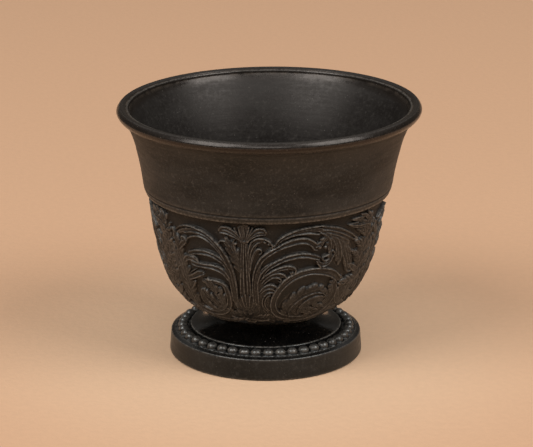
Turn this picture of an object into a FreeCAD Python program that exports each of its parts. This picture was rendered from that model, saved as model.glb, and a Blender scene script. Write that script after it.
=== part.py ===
import FreeCAD, Part
import math
import os
import Sketcher
from FreeCAD import Placement, Rotation, Vector

# Footed cup of dry-bodied black stoneware, in millimetres.
# +Z is up, the origin is the centre of the foot's resting ring, and -Y is the front.
# The thrown cup stands on a separately turned foot, and both carry luted-on relief.

SIZES = {
    # lip and flared collar of the cup
    "cup_height": 85.2,
    "crest_radius": 48.5,
    "lip_radius": 50.0,
    "lip_height": 83.7,
    "lip_edge_radius": 47.0,
    "lip_edge_height": 84.5,
    "crease_radius": 47.35,
    "crease_height": 80.8,
    "collar_waist_radius": 43.55,
    "collar_waist_height": 71.0,
    "collar_base_radius": 41.2,
    "collar_base_height": 58.4,
    "ledge_radius": 40.3,
    "ledge_height": 56.1,
    # bowl below the ledge
    "neck_radius": 38.2,
    "belly_radius": 33.68,
    "belly_height": 31.96,
    "base_edge_radius": 22.2,
    "base_edge_height": 16.2,
    "seat_radius": 17.5,
    "seat_height": 14.6,
    # inside of the cup
    "wall_thickness": 3.0,
    "collar_thickness": 4.2,
    "floor_thickness": 5.6,
    "floor_flat_radius": 15.5,
    # how far each arc stands off its chord
    "lip_under_rise": 0.7,
    "lip_outer_rise": 0.44,
    "lip_inner_rise": 0.2,
    "flare_rise": 0.45,
    "collar_rise": 0.2,
    "bowl_upper_rise": 0.74,
    "bowl_lower_rise": 1.61,
    "inner_flare_rise": 0.41,
    "inner_neck_rise": 0.54,
    "inner_bowl_rise": 0.43,
    "inner_corner_rise": 3.28,
    # turned foot
    "ring_radius": 25.2,
    "ring_height": 9.36,
    "channel_inner_radius": 25.6,
    "channel_outer_radius": 30.0,
    "channel_height": 7.4,
    "foot_edge_radius": 31.72,
    "foot_edge_height": 7.1,
    "foot_skirt_radius": 32.2,
    "foot_skirt_height": 0.6,
    "rest_outer_radius": 31.7,
    "rest_inner_radius": 27.0,
    "recess_flat_radius": 13.0,
    "recess_height": 8.6,
    "cavetto_rise": 1.3,
    "skirt_round_rise": 0.12,
    "recess_rise": 2.3,
    # bead border laid in the foot's channel
    "border_gap": 0.15,
    "border_thickness": 0.45,
    "bead_ring_radius": 27.8,
    "bead_radius": 1.6,
    "bead_rise": 1.35,
    "bead_swell": 0.42,
    "bead_count": 44,
    "bead_turn": 1.1,
    # sprigs luted onto the bowl
    "sprig_height": 0.85,
    "rib_height": 1.15,
    "sprig_width": 2.0,
    "repeat_count": 3,
    "front_turn": -11.0,
}

# Each motif is drawn on a grid of 120 columns by 100 rows over one repeat of the relief band.
# Column 0 is the palmette's axis, row 0 the bowl's base edge and row 100 the ledge.
# A strand is a run of (column, row, width), the width as a share of sprig_width.
GRID_COLUMN_SHARE = 1 / 120
GRID_ROW_SHARE = 1 / 100

PALMETTE_SHARES = (
    # fluted stem
    ((0, 22, 1.9), (-0.3, 34, 2.1), (-0.6, 45, 1.7), (-0.4, 62, 1.6), (0, 78, 1.25), (0, 88, 1.2)),
    # three-lobed fan at its head
    ((0, 84, 1.2), (-0.3, 91, 1.5), (-0.5, 97.5, 0.5)),
    ((-0.8, 86, 0.9), (-2.4, 92, 0.8), (-3.6, 96.5, 0.4)),
    ((0.6, 86, 0.9), (1.8, 92, 0.8), (3.1, 96.5, 0.4)),
    ((-0.8, 86, 1.2), (-4.5, 90.3, 1.3), (-8, 93, 1.5), (-11.5, 93.5, 1.0)),
    ((-4, 90, 0.7), (-7.5, 94.5, 0.7), (-10.5, 95.8, 0.5)),
    ((0.6, 86, 1.2), (3.5, 90.5, 1.2), (6.5, 93.2, 1.4), (9.8, 93.3, 1.0)),
    # leaf on the left of the stem
    ((-1.5, 60, 1.3), (-3.4, 68, 1.7), (-5.2, 77, 1.6), (-7.6, 83.5, 1.5)),
    ((-3, 64, 0.9), (-5.2, 71.5, 0.8), (-8, 73.5, 0.4)),
    ((-3.4, 68, 0.8), (-5.4, 74.5, 0.7), (-7.7, 76.8, 0.4)),
    ((-7, 82, 0.7), (-9.2, 83.4, 0.5), (-11, 84.4, 0.45), (-12.6, 83.2, 0.35)),
    # hooked leaves on the right of the stem
    ((1.2, 60, 0.9), (1.8, 72, 0.8), (2.5, 81, 0.8), (5, 86.8, 0.8), (9, 87.8, 0.7)),
    ((8.6, 87.9, 0.7), (11.2, 86.6, 0.65), (13, 84.2, 0.55), (13.4, 82.4, 0.4)),
    ((1.8, 62, 0.8), (3, 71.5, 0.7), (4.6, 76.8, 0.6), (6.4, 79, 0.5), (7.9, 77.5, 0.4)),
    # shell at the root, with its drop
    ((0, 30, 1.4), (-2.6, 32, 0.8), (-3.9, 34.4, 0.3)),
    ((0, 30, 1.4), (2, 32, 0.8), (3, 34.4, 0.3)),
    ((0, 27, 1.2), (-4, 25, 1.0), (-6.8, 26, 0.4)),
    ((0, 27, 1.2), (4, 25, 1.0), (7.2, 25.4, 0.4)),
    ((0, 26, 1.3), (-4, 21, 1.0), (-7.5, 20.5, 0.4)),
    ((0, 26, 1.3), (4.5, 21, 1.0), (9, 17.5, 0.5)),
    ((0.3, 24, 1.3), (0.6, 18, 1.1), (0.7, 13, 1.6)),
)

SPRAY_RIGHT_SHARES = (
    # long strands that fan out from the root
    ((5.9, 31, 0.8), (5, 44, 0.85), (5.3, 56, 0.85), (7.4, 68.5, 0.95), (11, 75.5, 1.1), (16, 80, 1.2),
     (22, 84, 1.25), (28, 85.3, 1.2), (32, 83.2, 0.9), (35.2, 78, 0.45)),
    ((16, 80.5, 0.5), (17, 84.6, 0.6), (19.6, 88.2, 0.9), (24, 91.2, 1.15), (29, 92.7, 1.2), (34, 92.6, 0.7)),
    ((5, 46, 0.8), (6.8, 57, 0.85), (10, 63.5, 0.95), (15, 68.3, 1.0), (21, 72, 1.1), (27, 73.4, 1.1),
     (32, 72.6, 0.9), (37.8, 69.4, 0.5)),
    # short leaves that curl between the strands and the scroll
    ((5.2, 44, 0.8), (8, 54.5, 0.9), (12, 60, 0.9), (17, 63.8, 1.0), (21.5, 64.4, 0.8), (24.4, 61.6, 0.45)),
    ((5.2, 42, 0.8), (8.5, 51.5, 0.9), (13, 57.3, 1.1), (16.8, 58.2, 0.8), (19.2, 56.4, 0.35)),
    ((5.7, 38, 0.8), (8.2, 45.5, 0.9), (11.6, 48.8, 1.0), (15, 48.4, 0.4)),
    ((5.7, 36, 0.8), (7.8, 40, 0.8), (10.4, 42.4, 0.8), (12.2, 42.4, 0.4)),
    ((5.7, 37, 0.8), (8.2, 36, 0.8), (9.2, 31.5, 0.8), (11, 26.5, 0.5)),
)

SCROLL_RIGHT_SHARES = (
    # oval scroll
    ((53, 47, 0.5), (50.6, 51, 0.9), (46, 55.5, 1.15), (40, 58, 1.25), (34, 59.2, 1.25), (28, 58, 1.2),
     (22.5, 54, 1.15), (18, 46.5, 1.15), (15.3, 38, 1.15), (14.8, 31, 1.15), (16.4, 24, 1.15),
     (21, 18.4, 1.1), (28, 15, 0.9), (35, 14.6, 0.5)),
    # leaf that grows inside it
    ((24, 16.5, 1.2), (23.4, 24, 1.6), (25.2, 31.5, 1.9), (30, 38.5, 2.0), (36, 42, 1.7),
     (42, 41.5, 1.2), (46, 37.5, 0.6)),
    ((24.4, 31, 0.9), (22, 34.6, 0.7), (20.3, 36.3, 0.3)),
    ((26.5, 36, 0.8), (25.5, 39.5, 0.6), (25, 42.2, 0.25)),
    ((30, 40, 0.8), (29, 43, 0.6), (28.6, 45.2, 0.25)),
    ((34, 42.5, 0.8), (33.2, 45.2, 0.6), (32.8, 47.2, 0.25)),
    ((38, 43, 0.8), (37.6, 45.8, 0.6), (37.2, 47.6, 0.25)),
    # second leaf, rolled under the first
    ((26, 19, 1.1), (31.5, 21.5, 1.2), (36, 23.5, 1.3), (41, 27, 1.4), (45, 31, 1.0), (47, 34, 0.5)),
    ((33.8, 22, 0.9), (32.6, 27.5, 0.8), (35, 32, 0.8), (38.8, 34, 0.5)),
    ((36, 23.5, 0.9), (39.5, 20.3, 0.7), (42, 17.6, 0.3)),
    ((41, 27, 0.9), (44.4, 23.4, 0.7), (46.8, 20, 0.3)),
)

CASCADE_SHARES = (
    # head of the hanging acanthus and the ribbon that runs out of it
    ((37.4, 91.4, 0.8), (42, 89.6, 1.4), (47, 86.8, 1.5), (52, 84, 1.2), (56, 81.2, 0.8), (59.3, 79.4, 0.4)),
    ((38.5, 90.4, 0.9), (41.6, 86.5, 1.2), (43.4, 81, 1.2), (43.8, 75, 1.1), (43.6, 70, 0.9)),
    ((40, 88.5, 0.8), (38.4, 84.5, 0.6), (37.5, 80.5, 0.55), (38.7, 78.4, 0.3)),
    # curled leaf at its foot
    ((43.7, 71, 0.8), (41.5, 68.7, 0.9), (39.6, 69.6, 0.4)),
    ((43.6, 72, 0.9), (44.4, 67, 1.0), (42.4, 63.9, 0.9), (39.4, 63.3, 0.8), (37.3, 66, 0.4)),
    # hanging fingers
    ((43, 84, 1.1), (45.6, 78, 0.9), (47, 72, 0.75), (48.1, 65.8, 0.35)),
    ((45, 86, 1.0), (48.2, 78, 0.9), (50, 70.5, 0.7), (50.8, 63, 0.35)),
    ((47, 86, 0.9), (51, 77, 0.9), (53.3, 68, 0.9), (55.4, 59.5, 0.8), (57.8, 54, 0.5), (60.4, 52.4, 0.3)),
)

PLUME_SHARES = (
    # trunk of the tall foliage between two palmettes
    ((65.5, 21, 1.4), (63, 29, 1.9), (63.2, 37, 2.2), (65.6, 47, 2.8), (66.6, 57, 3.4), (66.8, 68, 3.4),
     (68.4, 78, 2.8), (70, 87, 2.0), (73, 94, 0.5)),
    # leaves that turn to the left under the ledge
    ((70, 84, 1.2), (66, 88.2, 1.3), (60, 89.4, 1.2), (54.2, 91, 0.4)),
    ((66, 89, 0.9), (62.4, 93.2, 0.8), (56.2, 94.4, 0.35)),
    ((69.5, 89, 0.8), (66.8, 94, 0.7), (62.6, 96.6, 0.3)),
    # blunt leaves lower down
    ((67, 70, 1.2), (64.6, 74.3, 1.1), (61.9, 75.6, 0.5)),
    ((66.5, 62, 1.2), (63, 65.5, 1.0), (59.6, 68.5, 0.4)),
    ((65.5, 44, 1.2), (61.8, 43.4, 1.2), (57.8, 44.6, 1.0), (54.6, 44.4, 0.4)),
    # leaves that turn to the right
    ((68, 76, 1.1), (71.4, 81.5, 1.0), (76, 83.8, 0.4)),
    ((67.5, 66, 1.2), (71.8, 72.5, 1.1), (75.8, 75.6, 0.5)),
    ((67, 55, 1.2), (71.8, 62, 1.2), (75, 64, 0.5)),
    ((65, 43, 1.2), (71, 49, 1.2), (75.4, 50.6, 0.5)),
    # sweeping ribs at the foot
    ((64.4, 23, 1.1), (58.4, 27, 1.0), (55.2, 34, 0.8), (54.4, 39, 0.4)),
    ((63.6, 33, 1.1), (69.2, 30, 1.1), (73.2, 36.6, 0.5)),
    ((64.6, 22, 1.2), (70, 17.2, 1.1), (76, 15.2, 0.5)),
    ((65, 23, 1.0), (60, 18.6, 1.0), (54, 17.2, 0.5)),
)

SPRAY_LEFT_SHARES = (
    # long strands that fan out from the root
    ((-6.3, 31.5, 0.7), (-6.6, 42, 1.1), (-7.3, 54, 1.3), (-9.2, 65, 1.25), (-12.4, 75, 1.1), (-16.2, 82, 1.15),
     (-21, 86.6, 1.25), (-27, 88.6, 1.1), (-33, 87.4, 0.8), (-38.5, 83.6, 0.35)),
    ((-7.6, 61, 0.9), (-11, 67.8, 0.9), (-15.5, 71.2, 1.0), (-21, 72.8, 1.0), (-27, 71.8, 0.8),
     (-32, 69.3, 0.35)),
    ((-6.6, 52, 1.1), (-10.2, 58.6, 1.2), (-15, 61.6, 1.25), (-21, 61.6, 1.2), (-27, 61.4, 0.9),
     (-31, 62, 0.4)),
)

SCROLL_LEFT_SHARES = (
    # narrow scroll
    ((-11, 51, 0.3), (-10.6, 46, 0.6), (-10.2, 38, 0.75), (-10.9, 30, 0.95), (-13.6, 23, 1.2), (-19, 18.4, 1.2),
     (-26, 17.2, 1.1), (-33, 19.6, 0.9), (-38, 26, 0.7)),
    # leaf cluster inside it
    ((-15, 22, 1.4), (-14.2, 30, 1.6), (-15.4, 38, 1.7), (-18, 44, 1.6), (-22.5, 47.2, 1.1), (-25, 46.4, 0.4)),
    ((-15, 40, 1.0), (-13.4, 45.4, 0.8), (-14.6, 49.4, 0.35)),
    ((-17.5, 42, 1.0), (-17.6, 47, 0.7), (-18.8, 50, 0.3)),
    ((-15.5, 33, 1.2), (-20, 34.4, 1.2), (-23, 33, 0.4)),
    ((-20, 20, 1.2), (-24.4, 26.4, 1.2), (-26.4, 32.6, 1.3), (-26.6, 39, 0.6)),
    # foliage that climbs on its left
    ((-36, 22, 1.2), (-36.6, 34, 1.7), (-36.8, 45, 2.1), (-37.2, 57, 2.3), (-38, 67, 2.1), (-39.6, 76, 1.6),
     (-42, 84, 0.5)),
    ((-36.5, 40, 1.0), (-33, 42.6, 1.0), (-31.2, 45.8, 0.4)),
    ((-37, 48, 1.0), (-31, 50.6, 1.2), (-26.6, 54.6, 0.9), (-24.2, 54.8, 0.4)),
    ((-38, 60, 1.0), (-34.4, 64.8, 1.1), (-31, 66, 0.9), (-27, 65, 0.3)),
    ((-39, 70, 1.0), (-36, 75, 1.0), (-33.2, 78.6, 0.9), (-35, 81.6, 0.4)),
    ((-37.6, 57, 1.1), (-41, 53.4, 0.9), (-41.8, 47, 0.4)),
)

SPRIG_SHARES = {
    "palmette": PALMETTE_SHARES,
    "spray_right": SPRAY_RIGHT_SHARES,
    "scroll_right": SCROLL_RIGHT_SHARES,
    "cascade": CASCADE_SHARES,
    "plume": PLUME_SHARES,
    "spray_left": SPRAY_LEFT_SHARES,
    "scroll_left": SCROLL_LEFT_SHARES,
}

doc = FreeCAD.newDocument("FootedCup")
sheet = doc.addObject("Spreadsheet::Sheet", "Sizes")
for row, (alias, value) in enumerate(SIZES.items(), start=1):
    sheet.set(f"A{row}", alias)
    sheet.set(f"B{row}", str(value))
    sheet.setAlias(f"B{row}", alias)
doc.recompute()


def size(alias):
    return float(sheet.get(alias))


# A coordinate is a run of cell aliases, added up. An alias with a minus sign is taken away.

def value_of(terms):
    return sum(-size(term[1:]) if term.startswith("-") else size(term) for term in terms)


def formula_of(terms):
    cells = [f"-Sizes.{term[1:]}" if term.startswith("-") else f"Sizes.{term}" for term in terms]
    return " + ".join(cells) or "0"


def arc_radius(start, end, rise):
    chord = math.dist(start, end)
    return chord * chord / (8 * abs(rise)) + abs(rise) / 2


def arc_middle(start, end, rise):
    """The arc's middle point. A positive rise bulges to the right of the way from start to end."""
    chord = math.dist(start, end)
    along_x = (end[0] - start[0]) / chord
    along_z = (end[1] - start[1]) / chord
    return ((start[0] + end[0]) / 2 + along_z * rise, (start[1] + end[1]) / 2 - along_x * rise)


def origin_plane(body, role):
    return next(feature for feature in body.Origin.OriginFeatures if feature.Role == role)


def profile_sketch(body, name, corners, centre_line=None):
    """A closed profile in the XZ plane. A corner is (radius terms, height terms, rise term of the edge to it)."""
    sketch = body.newObject("Sketcher::SketchObject", name)
    sketch.AttachmentSupport = [(origin_plane(body, "XZ_Plane"), "")]
    sketch.MapMode = "FlatFace"
    places = [(value_of(radius), value_of(height)) for radius, height, _ in corners]
    first_ends = []
    for index, (_, _, rise) in enumerate(corners):
        start, end = places[index - 1], places[index]
        flat = [Vector(point[0], point[1], 0) for point in (start, end)]
        if rise is None:
            sketch.addGeometry(Part.LineSegment(flat[0], flat[1]), False)
            first_ends.append(1)
            continue
        bulge = value_of((rise,))
        middle = Vector(*arc_middle(start, end, bulge), 0)
        # an arc is kept anticlockwise, so one that bulges to the left starts at its far end
        ends = (flat[0], flat[1]) if bulge > 0 else (flat[1], flat[0])
        sketch.addGeometry(Part.Arc(ends[0], middle, ends[1]), False)
        first_ends.append(1 if bulge > 0 else 2)
    count = len(corners)
    for index, (radius, height, rise) in enumerate(corners):
        following = (index + 1) % count
        last_end = 3 - first_ends[index]
        sketch.addConstraint(
            Sketcher.Constraint("Coincident", index, last_end, following, first_ends[following])
        )
        place_corner(sketch, index, last_end, radius, height, places[index])
        if rise is not None:
            before = corners[index - 1]
            bind_arc(sketch, index, before, corners[index], places[index - 1], places[index])
    if centre_line is not None:
        add_centre_line(sketch, centre_line, places)
    return sketch


def place_corner(sketch, edge, end, radius, height, place):
    if radius:
        across = sketch.addConstraint(Sketcher.Constraint("DistanceX", -1, 1, edge, end, place[0]))
        sketch.setExpression(f"Constraints[{across}]", formula_of(radius))
    else:
        sketch.addConstraint(Sketcher.Constraint("PointOnObject", edge, end, -2))
    if height:
        upward = sketch.addConstraint(Sketcher.Constraint("DistanceY", -1, 1, edge, end, place[1]))
        sketch.setExpression(f"Constraints[{upward}]", formula_of(height))
    else:
        sketch.addConstraint(Sketcher.Constraint("PointOnObject", edge, end, -1))


def bind_arc(sketch, edge, before, corner, start, end):
    rise = corner[2].lstrip("-")
    radius = sketch.addConstraint(
        Sketcher.Constraint("Radius", edge, arc_radius(start, end, size(rise)))
    )
    across = f"({formula_of(corner[0])} - ({formula_of(before[0])}))"
    upward = f"({formula_of(corner[1])} - ({formula_of(before[1])}))"
    chord_squared = f"({across}^2 + {upward}^2)"
    formula = f"{chord_squared} / (8 * Sizes.{rise}) + Sizes.{rise} / 2"
    sketch.setExpression(f"Constraints[{radius}]", formula)


def add_centre_line(sketch, radius, places):
    """A construction line that stands at a radius, for a feature that turns about its own middle."""
    reach = value_of(radius)
    bottom = min(place[1] for place in places)
    top = max(place[1] for place in places)
    line = sketch.addGeometry(Part.LineSegment(Vector(reach, bottom, 0), Vector(reach, top, 0)), True)
    sketch.addConstraint(Sketcher.Constraint("Vertical", line))
    across = sketch.addConstraint(Sketcher.Constraint("DistanceX", -1, 1, line, 1, reach))
    sketch.setExpression(f"Constraints[{across}]", formula_of(radius))


def turned_body(label, corners):
    """A body of revolution about the Z axis."""
    body = doc.addObject("PartDesign::Body", label)
    body.Label = label
    sketch = profile_sketch(body, f"{label}_profile", corners)
    turning = body.newObject("PartDesign::Revolution", f"{label}_turning")
    turning.Profile = sketch
    turning.ReferenceAxis = (sketch, ["V_Axis"])
    turning.Angle = 360
    doc.recompute()
    return body


# Thrown and turned cup

CUP_CORNERS = [
    ((), ("seat_height",), None),
    (("seat_radius",), ("seat_height",), None),
    (("base_edge_radius",), ("base_edge_height",), None),
    (("belly_radius",), ("belly_height",), "bowl_lower_rise"),
    (("neck_radius",), ("ledge_height",), "bowl_upper_rise"),
    (("ledge_radius",), ("ledge_height",), None),
    (("collar_base_radius",), ("collar_base_height",), None),
    (("collar_waist_radius",), ("collar_waist_height",), "-collar_rise"),
    (("crease_radius",), ("crease_height",), "-flare_rise"),
    (("lip_radius",), ("lip_height",), "lip_under_rise"),
    (("crest_radius",), ("cup_height",), "lip_outer_rise"),
    (("lip_edge_radius",), ("lip_edge_height",), "lip_inner_rise"),
    (("collar_waist_radius", "-collar_thickness"), ("collar_waist_height",), "inner_flare_rise"),
    (("neck_radius", "-wall_thickness"), ("ledge_height",), "inner_neck_rise"),
    (("belly_radius", "-wall_thickness"), ("belly_height",), "-inner_bowl_rise"),
    (("floor_flat_radius",), ("seat_height", "floor_thickness"), "-inner_corner_rise"),
    ((), ("seat_height", "floor_thickness"), None),
]
cup_body = turned_body("cup_body", CUP_CORNERS)

# Turned foot, whose flat top is luted to the underside of the cup

FOOT_CORNERS = [
    ((), ("seat_height",), None),
    (("seat_radius",), ("seat_height",), None),
    (("ring_radius",), ("ring_height",), "cavetto_rise"),
    (("channel_inner_radius",), ("channel_height",), None),
    (("channel_outer_radius",), ("channel_height",), None),
    (("channel_outer_radius",), ("channel_height", "border_thickness"), None),
    (("foot_edge_radius",), ("foot_edge_height",), None),
    (("foot_skirt_radius",), ("foot_skirt_height",), None),
    (("rest_outer_radius",), (), "skirt_round_rise"),
    (("rest_inner_radius",), (), None),
    (("recess_flat_radius",), ("recess_height",), "recess_rise"),
    ((), ("recess_height",), None),
]
foot = turned_body("foot", FOOT_CORNERS)

# Bead border, a strip with a row of beads, laid in the foot's channel

bead_border = doc.addObject("PartDesign::Body", "bead_border")
bead_border.Label = "bead_border"
STRIP_INNER = ("channel_inner_radius", "border_gap")
STRIP_OUTER = ("channel_outer_radius", "-border_gap")
STRIP_TOP = ("channel_height", "border_thickness")
strip_sketch = profile_sketch(bead_border, "strip_profile", [
    (STRIP_INNER, ("channel_height",), None),
    (STRIP_OUTER, ("channel_height",), None),
    (STRIP_OUTER, STRIP_TOP, None),
    (STRIP_INNER, STRIP_TOP, None),
])
strip = bead_border.newObject("PartDesign::Revolution", "strip")
strip.Profile = strip_sketch
strip.ReferenceAxis = (strip_sketch, ["V_Axis"])
strip.Angle = 360
doc.recompute()

bead_sketch = profile_sketch(
    bead_border,
    "bead_profile",
    [
        (("bead_ring_radius",), ("channel_height",), None),
        (("bead_ring_radius", "bead_radius"), ("channel_height",), None),
        (("bead_ring_radius", "bead_radius"), STRIP_TOP, None),
        (("bead_ring_radius",), STRIP_TOP + ("bead_rise",), "bead_swell"),
    ],
    centre_line=("bead_ring_radius",),
)
bead = bead_border.newObject("PartDesign::Revolution", "bead")
bead.Profile = bead_sketch
bead.ReferenceAxis = (bead_sketch, ["Axis0"])
bead.Angle = 360
doc.recompute()

bead_row = bead_border.newObject("PartDesign::PolarPattern", "bead_row")
bead_row.Originals = [bead]
bead_row.Axis = (strip_sketch, ["V_Axis"])
bead_row.Angle = 360
bead_row.setExpression("Occurrences", "Sizes.bead_count")
bead_border.Tip = bead_row
FRONT = -90
bead_border.Placement = Placement(Vector(), Rotation(Vector(0, 0, 1), FRONT + size("bead_turn")))
doc.recompute()


# Sprigs: reliefs pressed in moulds and luted onto the bowl. Each lies face to face on it.

STEPS_PER_SPAN = 2
# widths are shares of sprig_width, and the prisms' reach is a share of neck_radius
LEAST_WIDTH_SHARE = 0.2
RIB_WIDTH_SHARE = 0.4
PRISM_REACH_SHARE = 0.5
# a strand drawn with at least this many points carries a rib
LEAST_RIBBED_POINTS = 5


class Arc:
    """One arc of the bowl's outer profile, from its lower to its upper end."""

    def __init__(self, start, end, rise):
        self.radius = arc_radius(start, end, rise)
        middle = arc_middle(start, end, rise)
        chord_middle = ((start[0] + end[0]) / 2, (start[1] + end[1]) / 2)
        inward = ((chord_middle[0] - middle[0]) / rise, (chord_middle[1] - middle[1]) / rise)
        self.centre = (middle[0] + inward[0] * self.radius, middle[1] + inward[1] * self.radius)
        self.first = math.atan2(start[1] - self.centre[1], start[0] - self.centre[0])
        self.last = math.atan2(end[1] - self.centre[1], end[0] - self.centre[0])
        self.length = self.radius * (self.last - self.first)

    def place(self, angle, stand_off):
        reach = self.radius + stand_off
        return (self.centre[0] + reach * math.cos(angle), self.centre[1] + reach * math.sin(angle))


base_edge = (size("base_edge_radius"), size("base_edge_height"))
belly = (size("belly_radius"), size("belly_height"))
neck = (size("neck_radius"), size("ledge_height"))
LOWER_ARC = Arc(base_edge, belly, size("bowl_lower_rise"))
UPPER_ARC = Arc(belly, neck, size("bowl_upper_rise"))
REPEAT_ANGLE = 360 / round(size("repeat_count"))


def bowl_frame(column, row):
    """The place on the bowl under a point of the drawing grid, and the outward direction there."""
    turn = math.radians(column * GRID_COLUMN_SHARE * REPEAT_ANGLE + FRONT)
    way = row * GRID_ROW_SHARE * (LOWER_ARC.length + UPPER_ARC.length)
    if way < LOWER_ARC.length:
        arc, angle = LOWER_ARC, LOWER_ARC.first + way / LOWER_ARC.radius
    else:
        arc, angle = UPPER_ARC, UPPER_ARC.first + (way - LOWER_ARC.length) / UPPER_ARC.radius
    reach, height = arc.place(angle, 0)
    outward = Vector(math.cos(angle) * math.cos(turn), math.cos(angle) * math.sin(turn), math.sin(angle))
    return Vector(reach * math.cos(turn), reach * math.sin(turn), height), outward


def skin_edges(stand_off):
    """The bowl's outer profile moved out by a distance, as two arcs that share their joint."""
    low, high = LOWER_ARC, UPPER_ARC
    joint_low = low.place(low.last, stand_off)
    joint_high = high.place(high.first, stand_off)
    joint = ((joint_low[0] + joint_high[0]) / 2, (joint_low[1] + joint_high[1]) / 2)
    runs = (
        (low.place(low.first, stand_off), low.place((low.first + low.last) / 2, stand_off), joint),
        (joint, high.place((high.first + high.last) / 2, stand_off), high.place(high.last, stand_off)),
    )
    return [Part.Arc(*[Vector(point[0], 0, point[1]) for point in run]).toShape() for run in runs]


def bowl_skin(thickness):
    """A layer of one thickness that lies on the bowl, all the way round."""
    inner = skin_edges(0)
    outer = skin_edges(thickness)
    top = Part.makeLine(inner[1].valueAt(inner[1].LastParameter), outer[1].valueAt(outer[1].LastParameter))
    bottom = Part.makeLine(inner[0].valueAt(inner[0].FirstParameter), outer[0].valueAt(outer[0].FirstParameter))
    outline = Part.Wire(Part.__sortEdges__(inner + outer + [top, bottom]))
    return Part.Face(outline).revolve(Vector(), Vector(0, 0, 1), 360)


def smooth_run(strand):
    """Points of a smooth line through a strand's (column, row, width)."""
    line = Part.BSplineCurve()
    line.interpolate([Vector(*point) for point in strand])
    first, last = line.FirstParameter, line.LastParameter
    count = STEPS_PER_SPAN * (len(strand) - 1)
    return [line.value(first + (last - first) * step / count) for step in range(count + 1)]


def flatten(point, middle, aim):
    return point - aim * (point - middle).dot(aim)


def strand_face(strand, width_share, middle, aim):
    """The outline of a strand, seen along aim, as a flat face through middle."""
    run = smooth_run(strand)
    places, outwards = zip(*[bowl_frame(point.x, point.y) for point in run])
    halves = [max(point.z, LEAST_WIDTH_SHARE) * width_share * size("sprig_width") / 2 for point in run]
    left, right = [], []
    for index, place in enumerate(places):
        before, after = places[max(index - 1, 0)], places[min(index + 1, len(places) - 1)]
        side = (after - before).cross(outwards[index]).normalize() * halves[index]
        left.append(flatten(place - side, middle, aim))
        right.append(flatten(place + side, middle, aim))
    start_tip = places[0] - (places[1] - places[0]).normalize() * halves[0]
    end_tip = places[-1] + (places[-1] - places[-2]).normalize() * halves[-1]
    edges = []
    for points in (left, right):
        side_line = Part.BSplineCurve()
        side_line.interpolate(points)
        edges.append(side_line.toShape())
    edges.append(Part.Arc(left[0], flatten(start_tip, middle, aim), right[0]).toShape())
    edges.append(Part.Arc(left[-1], flatten(end_tip, middle, aim), right[-1]).toShape())
    return Part.Face(Part.Wire(Part.__sortEdges__(edges)))


def sprig_layer(strands, width_share, skin, middle, aim):
    """The strands of a sprig as one layer that fills the skin under their joined outline."""
    faces = [strand_face(strand, width_share, middle, aim) for strand in strands]
    outline = faces[0].multiFuse(faces[1:]).removeSplitter() if len(faces) > 1 else faces[0]
    reach = size("neck_radius") * PRISM_REACH_SHARE
    prisms = [face.translated(-aim * reach).extrude(aim * (2 * reach)) for face in outline.Faces]
    return [solid for prism in prisms for solid in prism.common(skin).Solids]


def sprig_shape(strands):
    """A sprig: a plate with the outline of its strands, and a raised rib along each long one."""
    middle, aim = Vector(), Vector()
    for column, row, _ in [point for strand in strands for point in strand]:
        place, outward = bowl_frame(column, row)
        middle += place
        aim += outward
    middle = middle * (1 / sum(len(strand) for strand in strands))
    aim.normalize()
    plate = sprig_layer(strands, 1, PLATE_SKIN, middle, aim)
    ribbed = [strand for strand in strands if len(strand) >= LEAST_RIBBED_POINTS]
    ribs = sprig_layer(ribbed, RIB_WIDTH_SHARE, RIB_SKIN, middle, aim)
    return plate[0].multiFuse(plate[1:] + ribs).removeSplitter()


PLATE_SKIN = bowl_skin(size("sprig_height"))
RIB_SKIN = bowl_skin(size("rib_height"))

sprigs = []
for name, strands in SPRIG_SHARES.items():
    shape = sprig_shape(strands)
    for repeat in range(round(size("repeat_count"))):
        sprig = doc.addObject("Part::Feature", f"{name}_{repeat + 1}")
        sprig.Label = f"{name}_{repeat + 1}"
        sprig.Shape = shape
        turn = size("front_turn") + repeat * REPEAT_ANGLE
        sprig.Placement = Placement(Vector(), Rotation(Vector(0, 0, 1), turn))
        sprigs.append(sprig)
doc.recompute()

# Every object is looked at before anything is written

failed = [item.Label for item in doc.Objects if {"Invalid", "Error"} & set(item.State)]
if failed:
    raise RuntimeError(f"failed objects: {failed}")

nodes = [cup_body, foot, bead_border] + sprigs
for node in nodes:
    if node.Shape.isNull() or not node.Shape.isValid() or len(node.Shape.Solids) != 1:
        raise RuntimeError(f"{node.Label} is not one valid solid")

os.makedirs("parts", exist_ok=True)
for node in nodes:
    node.Shape.exportStep(f"parts/{node.Label}.step")
    print(f"{node.Label}: {node.Shape.Volume:.1f} mm3, {len(node.Shape.Faces)} faces")
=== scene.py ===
import math

import bpy
import numpy as np
from mathutils import Matrix, Vector


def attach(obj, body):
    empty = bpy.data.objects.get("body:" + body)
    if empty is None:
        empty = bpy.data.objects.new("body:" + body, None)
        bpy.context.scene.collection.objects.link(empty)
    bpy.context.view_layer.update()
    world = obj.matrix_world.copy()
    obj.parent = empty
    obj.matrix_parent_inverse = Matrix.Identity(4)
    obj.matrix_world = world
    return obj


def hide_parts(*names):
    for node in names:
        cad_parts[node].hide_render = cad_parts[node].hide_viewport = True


# Footed cup of dry-bodied black stoneware on a pale floor. Sizes are in millimetres until a mesh is made.

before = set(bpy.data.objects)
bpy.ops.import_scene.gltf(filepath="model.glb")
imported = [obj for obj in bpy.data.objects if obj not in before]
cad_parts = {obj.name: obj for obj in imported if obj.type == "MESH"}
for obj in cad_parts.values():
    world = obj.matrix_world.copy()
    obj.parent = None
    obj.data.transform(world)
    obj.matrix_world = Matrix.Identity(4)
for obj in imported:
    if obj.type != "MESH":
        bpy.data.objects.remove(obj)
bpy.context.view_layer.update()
MM = 0.001
BODY = "root"

# Turned profiles: (radius, height, rise of the arc that leads there)

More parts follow.
